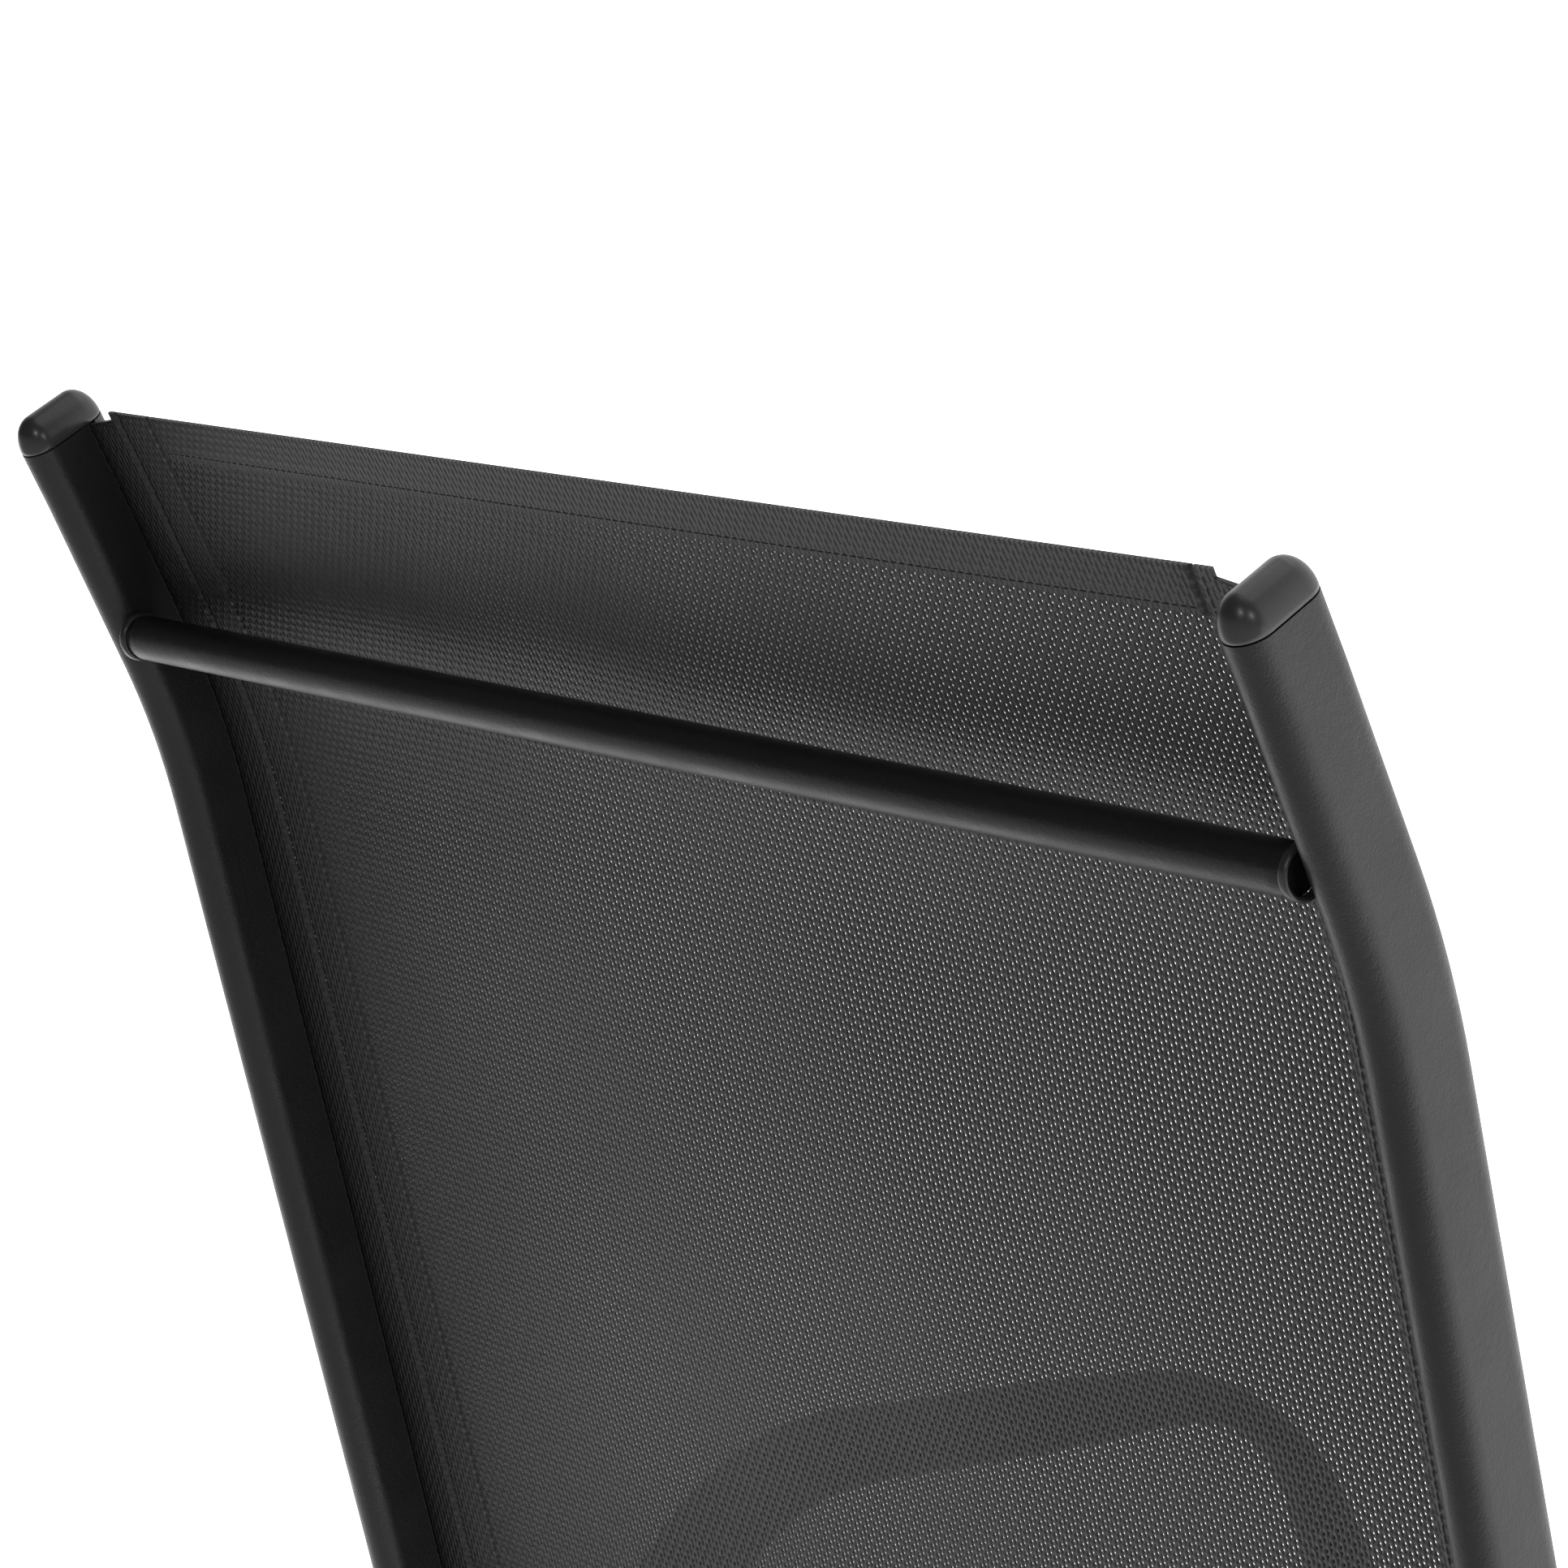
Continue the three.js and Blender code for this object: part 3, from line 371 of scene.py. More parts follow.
def route(corners, step=math.radians(1.5)):
    """Stations (y, z, direction) along corners (y, z, radius), with an arc of that radius at each."""
    stations = []
    for i, (y, z, radius) in enumerate(corners):
        before = i and math.atan2(z - corners[i - 1][1], y - corners[i - 1][0])
        last = i == len(corners) - 1
        after = before if last else math.atan2(corners[i + 1][1] - z, corners[i + 1][0] - y)
        if i == 0 or last:
            stations.append((y, z, after))
            continue
        turn = math.remainder(after - before, math.tau)
        tangent, way = radius * math.tan(abs(turn) / 2), math.copysign(1, turn)
        centre_y = y - tangent * math.cos(before) - way * radius * math.sin(before)
        centre_z = z - tangent * math.sin(before) + way * radius * math.cos(before)
        steps = max(3, math.ceil(abs(turn) / step))
        for k in range(steps + 1):
            way_now = before + turn * k / steps
            stations.append((centre_y + way * radius * math.sin(way_now),
                             centre_z - way * radius * math.cos(way_now), way_now))
    return stations


def leaning(corners):
    """Corners given from the hinge, up an upright back, turned to where the back leans."""
    c, s = math.cos(LEAN_BACK), math.sin(LEAN_BACK)
    return [(HINGE.y + y * c - z * s, HINGE.z + y * s + z * c, radius) for y, z, radius in corners]


def distances(stations):
    run = [0.0]
    for (y0, z0, _), (y1, z1, _) in zip(stations, stations[1:]):
        run.append(run[-1] + math.hypot(y1 - y0, z1 - z0))
    return run


def station_at(stations, run, distance):
    """The place and direction at a distance along a route."""
    i = max(k for k in range(len(run) - 1) if run[k] <= distance or k == 0)
    t = (distance - run[i]) / (run[i + 1] - run[i])
    a, b = stations[i], stations[i + 1]
    return tuple(p + (q - p) * t for p, q in zip(a, b))


neck_way = math.pi / 2 + BEND
head_way = neck_way + HEAD_BEND
neck_end = (NECK * math.cos(neck_way), BACK_REACH + NECK * math.sin(neck_way))
head_end = (neck_end[0] + HEAD_LENGTH * math.cos(head_way), neck_end[1] + HEAD_LENGTH * math.sin(head_way))
back_route = route(leaning([(0, -BACK_STUB, 0), (0, BACK_REACH, BEND_RADIUS),
                            (*neck_end, HEAD_RADIUS), (*head_end, 0)]))
rail_low, rail_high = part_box("base_rail_right")
RAIL_X = {"base": middle("base_rail_right").x, "back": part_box("back_rail_right")[1].x - RAIL_ROUND}
base_route = [(rail_high.y, middle("base_rail_right").z, math.pi),
              (rail_low.y, middle("base_rail_right").z, math.pi)]
print("back rail:", round(distances(back_route)[-1], 4), "m long over", len(back_route), "stations")

# %% [markdown]
# ## Tubes that follow a path
# Every rail is one closed outline swept along a route. A Curve object with a bevel would do it, but it
# twists where it likes. In Geometry Nodes the curve's normal is set first, straight across the lounger,
# so the groove for the cloth always stays on the inner face.

# %% A tree that sweeps a section
ACROSS = Vector((1, 0, 0))


def new_tree(name, inputs):
    """A Geometry Nodes tree with named inputs; returns it, its wires and its input sockets by name."""
    tree = bpy.data.node_groups.new(name, "GeometryNodeTree")
    tree.interface.new_socket("Geometry", in_out="INPUT", socket_type="NodeSocketGeometry")
    for label, kind in inputs.items():
        tree.interface.new_socket(label, in_out="INPUT", socket_type="NodeSocket" + kind)
    tree.interface.new_socket("Geometry", in_out="OUTPUT", socket_type="NodeSocketGeometry")
    wires = Wires(tree)
    start = wires.node("NodeGroupInput")
    return tree, wires, {s.name: s for s in start.outputs if s.name}


def end_tree(wires, geometry, material):
    """Every tree ends alike: real geometry, one material, and out."""
    real = wires.node("GeometryNodeRealizeInstances", {"Geometry": geometry}).outputs["Geometry"]
    done = wires.node("GeometryNodeSetMaterial", {"Geometry": real, "Material": material})
    wires.put(wires.node("NodeGroupOutput").inputs["Geometry"], done.outputs["Geometry"])


def grow(source, tree, name, **inputs):
    """Runs a tree on an object and keeps the result as a plain mesh object, in place of the source."""
    modifier = source.modifiers.new("grow", "NODES")
    modifier.node_group = tree
    sockets = {i.name: i.identifier for i in tree.interface.items_tree if i.in_out == "INPUT"}
    for label, value in inputs.items():
        modifier[sockets[label.replace("_", " ")]] = value
    graph = bpy.context.evaluated_depsgraph_get()
    data = bpy.data.meshes.new_from_object(source.evaluated_get(graph), depsgraph=graph)
    data.name = name
    old = source.data
    bpy.data.objects.remove(source)
    if isinstance(old, bpy.types.Curve):
        bpy.data.curves.remove(old)
    return new_object(name, data)


def swept_tree():
    tree, wires, given = new_tree("tube_along_path", {"Section": "Object", "Material": "Material"})
    steady = wires.node("GeometryNodeSetCurveNormal", {"Curve": given["Geometry"]}, mode="FREE")
    steady.inputs["Normal"].default_value = ACROSS
    section = wires.node("GeometryNodeObjectInfo", {"Object": given["Section"]})
    tube = wires.node("GeometryNodeCurveToMesh", {
        "Curve": steady.outputs["Curve"], "Profile Curve": section.outputs["Geometry"], "Fill Caps": True})
    end_tree(wires, tube.outputs["Mesh"], given["Material"])
    return tree


def drawn_curve(name, lines, closed=False):
    """One curve object that holds every line, each a list of places joined by straight runs."""
    data = bpy.data.curves.new(name, "CURVE")
    data.dimensions = "3D"
    for places in lines:
        line = data.splines.new("POLY")
        line.points.add(len(places) - 1)
        for point, place in zip(line.points, places):
            point.co = (*place, 1)
        line.use_cyclic_u = closed
    return new_object(name, data)


def smooth(piece, sharp_degrees=38):
    """Outward faces, smooth shading, and creases only where the faces turn sharply."""
    bm = bmesh.new()
    bm.from_mesh(piece.data)
    bmesh.ops.remove_doubles(bm, verts=bm.verts, dist=1e-6)
    bmesh.ops.recalc_face_normals(bm, faces=bm.faces)
    bm.to_mesh(piece.data)
    bm.free()
    piece.data.shade_smooth()
    piece.data.set_sharp_from_angle(angle=math.radians(sharp_degrees))
    return piece


def stand_in(piece, body, slot, *nodes):
    """The piece rides on a body and is shown in place of these CAD nodes. The slot is not used."""
    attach(piece, body)
    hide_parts(*nodes)
    return piece


tube_along_path = swept_tree()
print("tree:", tube_along_path.name)

# %% [markdown]
# ## Rails
# The rail is a flat oval with a small round bore in its inner face, open through a narrow mouth. The
# cloth's edge and its cord slide into it from the end. The section is drawn here from arcs.

# %% Rails
GROOVE_MOUTH, GROOVE_BORE, RAIL_WALL = 3.2 * MM, 7 * MM, 1.6 * MM
ARC_STEPS = 20


def arc(x, y, radius, start, end, steps=ARC_STEPS):
    turns = [start + (end - start) * i / steps for i in range(steps + 1)]
    return [(x + radius * math.cos(t), y + radius * math.sin(t)) for t in turns]


def oval(width, depth, steps=ARC_STEPS):
    """A flat oval, with its longer way across or up."""
    r = min(width, depth) / 2
    dx, dy = width / 2 - r, depth / 2 - r
    if dx > 0:
        ends = arc(dx, 0, r, -math.pi / 2, math.pi / 2, steps)
        return ends + arc(-dx, 0, r, math.pi / 2, math.pi * 1.5, steps)
    return arc(0, dy, r, 0, math.pi, steps) + arc(0, -dy, r, math.pi, math.tau, steps)


def rail_outline(side):
    lip, bore = GROOVE_MOUTH / 2, GROOVE_BORE / 2
    turn = math.asin(lip / bore)
    points = arc(0, -GROOVE_OFFSET, RAIL_ROUND, math.pi, math.tau)
    points += arc(0, GROOVE_OFFSET, RAIL_ROUND, 0, math.pi - math.asin(lip / RAIL_ROUND))
    points += arc(-RAIL_ROUND + RAIL_WALL + bore, GROOVE_OFFSET, bore, math.pi - turn, turn - math.pi, 12)
    points.append((-RAIL_ROUND, GROOVE_OFFSET - lip))
    return [(x * side, y, 0) for x, y in points]


def swept(name, section_points, stations, x, material):
    section = drawn_curve("section", [section_points], closed=True)
    path = drawn_curve("path", [[(x, y, z) for y, z, _ in stations]])
    piece = grow(path, tube_along_path, name, Section=section, Material=material)
    bpy.data.objects.remove(section)
    return smooth(piece)


for name, side in SIDES:
    for body, stations in (("base", base_route), ("back", back_route)):
        node = f"{body}_rail_{name}"
        rail = swept(node + "_tube", rail_outline(side), stations, side * RAIL_X[body], powder_coat)
        stand_in(rail, body, "frame_paint", node)
        print(rail.name, len(rail.data.polygons), "faces")

# %% [markdown]
# ## Domed caps
# A plastic cap closes each rail end. Its dome is half an ellipse across the rail, with a straight ridge
# and rounded ends, like a loaf. A subdivided box would need its corners guessed; here flat ovals are
# stacked, each narrower than the last, until they close on the ridge.

# %% Caps
CAP_HEIGHT, CAP_SEAM, CAP_LIP = 11 * MM, 0.3 * MM, 0.35 * MM
DOME_STEPS = 14


def mesh_object(name, rings, material, close_start=True, close_end=True):
    """A closed skin over rings with equal numbers of points."""
    bm = bmesh.new()
    rows = [[bm.verts.new(p) for p in ring] for ring in rings]
    for low, high in zip(rows, rows[1:]):
        for i in range(len(low)):
            j = (i + 1) % len(low)
            bm.faces.new((low[i], low[j], high[j], high[i]))
    if close_start:
        bm.faces.new(rows[0][::-1])
    if close_end:
        bm.faces.new(rows[-1])
    data = bpy.data.meshes.new(name)
    bm.to_mesh(data)
    bm.free()
    data.materials.append(material)
    return new_object(name, data)


def cap_rings():
    """Outlines from the seam up: across, along the rail's depth, and height."""
    rings = [[(x, y, CAP_SEAM) for x, y in oval(RAIL_WIDTH - 2 * CAP_LIP, RAIL_DEPTH - 2 * CAP_LIP)],
             [(x, y, CAP_SEAM + CAP_LIP) for x, y in oval(RAIL_WIDTH, RAIL_DEPTH)]]
    for k in range(1, DOME_STEPS + 1):
        tilt = math.pi / 2 * k / DOME_STEPS
        r = max(RAIL_ROUND * math.cos(tilt), 1e-7)
        height = CAP_SEAM + CAP_LIP + (CAP_HEIGHT - CAP_LIP) * math.sin(tilt)
        rings.append([(x, y, height) for x, y in oval(2 * r, 2 * r + 2 * GROOVE_OFFSET)])
    return rings


def cap(name, station, x, facing):
    y, z, way = station
    along = Vector((0, math.cos(way), math.sin(way))) * facing
    normal = Vector((0, math.sin(way), -math.cos(way)))
    rings = [[Vector((x, y, z)) + ACROSS * p + normal * q + along * h for p, q, h in ring]
             for ring in cap_rings()]
    return smooth(mesh_object(name, rings, satin_plastic, close_end=False), 50)


for name, side in SIDES:
    for body, where, station, facing in (
            ("base", "front", base_route[0], -1), ("base", "rear", base_route[-1], 1),
            ("back", "top", back_route[-1], 1), ("back", "bottom", back_route[0], -1)):
        x = side * RAIL_X[body]
        dome = cap(f"{body}_{where}_cap_{name}", station, x, facing)
        old_name = f"base_cap_{where}_{name}" if body == "base" else f"back_{where}_cap_{name}"
        dome.name = old_name + "_dome"
        stand_in(dome, body, "black_plastic", old_name)

# %% [markdown]
# ## Armrests
# Each armrest is a hollow moulded loop pushed into two sockets: broad at its feet, slim where it turns
# down at the front. A plain sweep keeps one section all the way, so the rings are placed one by one
# along the loop's route and each is swollen by its own amount.

# %% Armrests
ARM_ACROSS, ARM_DEPTH = 24 * MM, 30 * MM
ARM_REAR, ARM_REAR_RISE, ARM_RADIUS_REAR = 47 * MM, 276 * MM, 100 * MM
ARM_FRONT, ARM_FRONT_RISE, ARM_RADIUS_FRONT = 389.5 * MM, 249.3 * MM, 115 * MM
ARM_FRONT_FOOT, ARM_FOOT_RISE = 491 * MM, 21.1 * MM
ARM_REAR_DEPTH, ARM_FRONT_DEPTH = 44, 34
ARM_DEPTHS = [(0, ARM_REAR_DEPTH), (0.22, ARM_REAR_DEPTH), (0.3, 42), (0.35, 37), (0.41, 30), (0.53, 30),
              (0.6, 25), (0.65, 19), (0.7, 15), (0.75, 22), (0.81, 31), (0.85, ARM_FRONT_DEPTH),
              (1, ARM_FRONT_DEPTH)]
ARM_STEP = 5 * MM


def arm_depth(share):
    """The section's depth at a share of the loop, eased over each stretch between the given depths."""
    for (start, low), (end, high) in zip(ARM_DEPTHS, ARM_DEPTHS[1:]):
        if share <= end:
            return (low + (high - low) * (share - start) / (end - start)) * MM
    return ARM_DEPTHS[-1][1] * MM


arm_route = route([(HINGE.y + ARM_REAR, HINGE.z + ARM_FOOT_RISE, 0),
                   (HINGE.y + ARM_REAR, HINGE.z + ARM_REAR_RISE, ARM_RADIUS_REAR),
                   (HINGE.y + ARM_FRONT, HINGE.z + ARM_FRONT_RISE, ARM_RADIUS_FRONT),
                   (HINGE.y + ARM_FRONT_FOOT, HINGE.z + ARM_FOOT_RISE, 0)], math.radians(2))
arm_run = distances(arm_route)
arm_outline = oval(ARM_ACROSS, ARM_DEPTH)
for name, side in SIDES:
    x, rings = middle(f"armrest_{name}").x, []
    steps = round(arm_run[-1] / ARM_STEP)
    for k in range(steps + 1):
        y, z, way = station_at(arm_route, arm_run, arm_run[-1] * k / steps)
        near = [arm_depth(min(max(k / steps + shift, 0), 1)) for shift in (-0.02, -0.01, 0, 0.01, 0.02)]
        swell = sum(near) / len(near) / ARM_DEPTH
        rings.append([(x + p, y + q * swell * math.sin(way), z - q * swell * math.cos(way))
                      for p, q in arm_outline])
    arm = smooth(mesh_object(f"armrest_{name}_loop", rings, moulded_nylon), 50)
    stand_in(arm, "base", "black_plastic", f"armrest_{name}")
    print(arm.name, len(arm.data.polygons), "faces")

# %% [markdown]
# ## Round bars
# The cross bars and stretchers are plain round tube. A cylinder primitive would serve, but one tree
# with named sizes makes them all alike, round enough for a close view and with their edges eased.

# %% Bars
BAR_SIDES, BAR_EDGE = 48, 0.6 * MM


def bar_tree():
    sizes = {"Start": "Vector", "End": "Vector", "Radius": "Float", "Edge": "Float", "Material": "Material"}
    tree, wires, given = new_tree("round_bar", sizes)
    line = wires.node("GeometryNodeCurvePrimitiveLine", {"Start": given["Start"], "End": given["End"]})
    length = wires.node("ShaderNodeVectorMath", {0: given["Start"], 1: given["End"]}, operation="DISTANCE")
    steps = wires.node("GeometryNodeResampleCurve", {"Curve": line.outputs["Curve"], "Count": 201})
    along = wires.node("GeometryNodeSplineParameter").outputs["Length"]
    left = wires.math("SUBTRACT", length.outputs["Value"], along)
    nearest = wires.math("MINIMUM", along, left)
    eased = wires.math("MINIMUM", wires.math("DIVIDE", nearest, given["Edge"]), 1.0)
    short = wires.math("DIVIDE", given["Edge"], given["Radius"])
    shrink = wires.math("MULTIPLY", wires.math("SUBTRACT", 1.0, eased), short)
    scale = wires.math("SUBTRACT", 1.0, shrink)
    ring = wires.node("GeometryNodeCurvePrimitiveCircle", {
        "Resolution": BAR_SIDES, "Radius": given["Radius"]})
    skin = wires.node("GeometryNodeCurveToMesh", {
        "Curve": steps.outputs["Curve"], "Profile Curve": ring.outputs["Curve"],
        "Scale": scale, "Fill Caps": True})
    end_tree(wires, skin.outputs["Mesh"], given["Material"])
    return tree


round_bar = bar_tree()


def bar(node, body, slot, material, suffix="_tube"):
    """A round bar in a CAD bar's place, across the lounger."""
    low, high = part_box(node)
    y, z, radius = (low.y + high.y) / 2, (low.z + high.z) / 2, (high.z - low.z) / 2
    start = new_object("bar", bpy.data.meshes.new("bar"))
    made = grow(start, round_bar, node + suffix, Start=(low.x, y, z), End=(high.x, y, z),
                Radius=radius, Edge=BAR_EDGE, Material=material)
    return stand_in(smooth(made), body, slot, node)


for node in ("seat_bar_rear", "seat_bar_middle", "seat_bar_front", "stretcher_front", "stretcher_rear"):
    bar(node, "base", "frame_paint", powder_coat)
for node in ("back_lower_bar", "back_upper_bar"):
    bar(node, "back", "frame_paint", powder_coat)
bar("bail_foot_bar", "bail", "bolt_steel", zinc_steel)

# %% [markdown]
# ## Rings
# Collars, washers and bushings are rings with softly rounded edges. Each is a small rounded rectangle
# turned about the bar's own line.

# %% Rings
RING_SIDES = 48


def ring(node, inner, edge, body, slot, material):
    low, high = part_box(node)
    centre, outer, half = (low + high) / 2, (high.z - low.z) / 2, (high.x - low.x) / 2
    corners = [(half - edge, outer - edge, 0), (-half + edge, outer - edge, 1),
               (-half + edge, inner + edge, 2), (half - edge, inner + edge, 3)]
    profile = []
    for x, r, quarter in corners:
        start = math.pi / 2 * quarter
        profile += arc(x, r, edge, start, start + math.pi / 2, 4)
    rings = []
    for x, r in profile:
        turns = (math.tau * k / RING_SIDES for k in range(RING_SIDES))
        rings.append([centre + Vector((x, r * math.cos(t), r * math.sin(t))) for t in turns])
    made = mesh_object(node + "_ring", rings + rings[:1], material, close_start=False, close_end=False)
    return stand_in(smooth(made, 60), body, slot, node)


for name, _ in SIDES:
    ring(f"back_bar_collar_{name}", 6.4 * MM, 0.9 * MM, "back", "black_plastic", satin_plastic)
    ring(f"bail_washer_{name}", 4.3 * MM, 0.4 * MM, "back", "black_plastic", moulded_nylon)
    ring(f"pivot_bushing_{name}", 5.3 * MM, 0.7 * MM, "base", "black_plastic", moulded_nylon)

# %% [markdown]
# ## Moulded and pressed pieces
# Feet, sockets, legs, rack plates and bail arms already have their right shape in the frame, but with
# knife-sharp edges. Real pieces catch a thin line of light along each edge, so a merged copy of each
# gets a small bevel, and weighted normals keep its flat faces flat.

# %% Eased copies
EASED = (
    ("foot_", "base", "black_plastic", moulded_nylon, 0.8 * MM),
    ("armrest_socket_", "base", "black_plastic", moulded_nylon, 0.8 * MM),
    ("leg_front", "base", "frame_paint", powder_coat, 0.3 * MM),
    ("leg_rear", "base", "frame_paint", powder_coat, 0.3 * MM),
    ("rack_plate_", "base", "frame_paint", powder_coat, 0.5 * MM),
    ("bail_arm_", "bail", "frame_paint", powder_coat, 0.8 * MM),
)


def eased_copy(node, body, slot, material, edge):
    bm = bmesh.new()
    bm.from_mesh(frame["nodes"][node].data)
    bmesh.ops.remove_doubles(bm, verts=bm.verts, dist=2e-6)
    bmesh.ops.dissolve_limit(bm, angle_limit=math.radians(1), verts=bm.verts, edges=bm.edges)
    data = bpy.data.meshes.new(node + "_eased")
    bm.to_mesh(data)
    bm.free()
    data.materials.clear()
    data.materials.append(material)
    source = new_object(node + "_source", data)
    bevel = source.modifiers.new("edge", "BEVEL")
    bevel.width, bevel.segments = edge, 2
    bevel.limit_method, bevel.angle_limit = "ANGLE", math.radians(40)
    source.data.shade_smooth()
    even = source.modifiers.new("even", "WEIGHTED_NORMAL")
    even.keep_sharp = True
    graph = bpy.context.evaluated_depsgraph_get()
    finished = bpy.data.meshes.new_from_object(source.evaluated_get(graph), depsgraph=graph)
    bpy.data.objects.remove(source)
    finished.name = node + "_eased"
    return stand_in(new_object(node + "_eased", finished), body, slot, node)


for start, body, slot, material, edge in EASED:
    for node in sorted(n for n in frame["nodes"] if n.startswith(start)):
        piece = eased_copy(node, body, slot, material, edge)
        print(piece.name, len(piece.data.polygons), "faces")

# %% [markdown]
# ## Bolts, nuts and weld beads
# The same few fasteners appear again and again, so each shape is drawn once and a tree sets a copy on
# every point, turned to face the way that point says. The heads are button heads with a hexagon socket.

# %% Fasteners
TURN_POINTS = 24
OUTWARD = "outward"


def turned(name, profile, material):
    """A shape turned about X from (x, radius, hexagon) points; a hexagon's radius is to its flats."""
    rings = []
    for x, radius, hexagon in profile:
        ring_points = []
        for k in range(TURN_POINTS):
            t = math.tau * k / TURN_POINTS
            part = math.remainder(t, math.tau / 6)
            r = radius / math.cos(part) if hexagon else radius
            ring_points.append((x, r * math.cos(t), r * math.sin(t)))
        rings.append(ring_points)
    return smooth(mesh_object(name, rings, material), 32)


def button_head(name, radius, height, shank, socket):
    edge = 0.25 * MM
    dome = [(0.30, 1.0), (0.62, 0.93), (0.85, 0.80), (0.96, 0.68)]
    profile = [(-4 * MM, shank - edge, False), (-4 * MM + edge, shank, False), (0, shank, False),
               (0, radius - edge, False), (edge, radius, False)]
    profile += [(height * x, radius * r, False) for x, r in dome]
    profile += [(height, radius * 0.60, False), (height, socket + edge, True),
                (height - edge, socket, True), (height * 0.45, socket, True)]
    return turned(name, profile, zinc_steel)


def hexagon_nut(name, flats, length, thread, tip):
    edge = 0.5 * MM
    profile = [(0, flats - edge, False), (0, flats * 0.98, True), (edge, flats, True),
               (length - edge, flats, True), (length, flats * 0.96, False), (length, thread + edge, False),
               (length - edge, thread, False), (length + tip - edge, thread, False),
               (length + tip, thread - edge, False)]
    return turned(name, profile, zinc_steel)


def weld_bead(name, radius):
    """A rippled fillet round the end of a bar, against the rail."""
    bead, ripples, sides = 1.5 * MM, 22, 132
    rings = []
    for x, r in ((0.02, -0.05), (0.02, 1.0), (0.45, 0.78), (0.85, 0.45), (1.25, 0.05), (1.25, -0.05)):
        ring_points = []
        for k in range(sides):
            t = math.tau * k / sides
            swell = 1 + 0.10 * math.sin(ripples * t) * min(1.0, r * 3 if r > 0 else 0)
            reach = radius + bead * r * swell
            ring_points.append((-x * bead, reach * math.cos(t), reach * math.sin(t)))
        rings.append(ring_points)
    return smooth(mesh_object(name, rings + rings[:1], powder_coat, False, False), 60)


def fastener_tree():
    tree, wires, given = new_tree("fasteners_on_points", {"Shape": "Object", "Material": "Material"})
    shape = wires.node("GeometryNodeObjectInfo", {"Object": given["Shape"]})
    outward = wires.node("GeometryNodeInputNamedAttribute", {"Name": OUTWARD}, data_type="FLOAT_VECTOR")
    turn = wires.node("FunctionNodeAlignRotationToVector", {"Vector": outward.outputs[0]}, axis="X")
    copies = wires.node("GeometryNodeInstanceOnPoints", {
        "Points": given["Geometry"], "Instance": shape.outputs["Geometry"], "Rotation": turn.outputs[0]})
    end_tree(wires, copies.outputs["Instances"], given["Material"])
    return tree


fasteners_on_points = fastener_tree()


def fasteners(name, shape, places, material):
    """places is a list of (point, outward direction)."""
    data = bpy.data.meshes.new("points")
    data.from_pydata([p for p, _ in places], [], [])
    data.attributes.new(OUTWARD, "FLOAT_VECTOR", "POINT")
    for item, (_, outward) in zip(data.attributes[OUTWARD].data, places):
        item.vector = outward
    made = grow(new_object("points", data), fasteners_on_points, name, Shape=shape, Material=material)
    bpy.data.objects.remove(shape)
    made.data.shade_smooth()
    made.data.set_sharp_from_angle(angle=math.radians(32))
    return made


def face_points(nodes, offset, inwards=False):
    """For each node, the middle of its outer or inner X face, moved back by offset, and the way out."""
    places = []
    for node in nodes:
        low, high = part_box(node)
        centre = (low + high) / 2
        side = math.copysign(1, centre.x)
        way = -side if inwards else side
        x = (high.x if way > 0 else low.x) - way * offset
        places.append((Vector((x, centre.y, centre.z)), ACROSS * way))
    return places


HEAD, PIVOT_HEAD, NUT_LENGTH, THREAD_TIP = 4 * MM, 4.5 * MM, 7 * MM, 2 * MM
leg_bolts = sorted(n for n in frame["nodes"] if n.startswith("leg_bolt_"))
pieces = fasteners("leg_bolt_heads", button_head("leg_bolt", 8 * MM, HEAD, 4 * MM, 2.9 * MM),
                   face_points(leg_bolts, HEAD), zinc_steel)
stand_in(pieces, "base", "bolt_steel", *leg_bolts)
pivot_bolts, pivot_nuts, bail_bolts = ([f"{kind}_{name}" for name, _ in SIDES]
                                       for kind in ("pivot_bolt", "pivot_nut", "bail_bolt"))
pieces = fasteners("pivot_bolt_heads", button_head("pivot_bolt", 10 * MM, PIVOT_HEAD, 5 * MM, 3.6 * MM),
                   face_points(pivot_bolts, PIVOT_HEAD), zinc_steel)
stand_in(pieces, "base", "bolt_steel", *pivot_bolts)
pieces = fasteners("pivot_nuts_hexagon", hexagon_nut("nut", 8.2 * MM, NUT_LENGTH, 5 * MM, THREAD_TIP),
                   face_points(pivot_nuts, NUT_LENGTH, inwards=True), zinc_steel)
stand_in(pieces, "base", "bolt_steel", *pivot_nuts)
pieces = fasteners("bail_bolt_heads", button_head("bail_bolt", 8 * MM, HEAD, 4 * MM, 2.9 * MM),
                   face_points(bail_bolts, HEAD, inwards=True), zinc_steel)
stand_in(pieces, "back", "bolt_steel", *bail_bolts)

for body, nodes in (("base", ("seat_bar_rear", "seat_bar_middle", "seat_bar_front")),
                    ("base", ("stretcher_front", "stretcher_rear")), ("back", ("back_lower_bar",))):
    low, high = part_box(nodes[0])
    bead = weld_bead("bead", (high.z - low.z) / 2)
    places = []
    for node in nodes:
        low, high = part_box(node)
        y, z = (low.y + high.y) / 2, (low.z + high.z) / 2
        places += [(Vector((low.x, y, z)), -ACROSS), (Vector((high.x, y, z)), ACROSS)]
    pieces = fasteners(nodes[0] + "_weld_beads", bead, places, powder_coat)
    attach(pieces, body)

# %% [markdown]
# ## The slings
# A sling is cut flat, folded and sewn into a hem at its ends and along both sides, then stretched
# between the rails. Cloth simulation would only find the same stretched plane again, so the sheet is
# laid along the rails' route directly, with a few millimetres of slack rippling its middle. It is one
# closed skin whose back face steps out wherever the cloth is double, and each point keeps its place on
# the flat cut as the map that the weave is drawn on. The back sling's top hem stands above the rails.

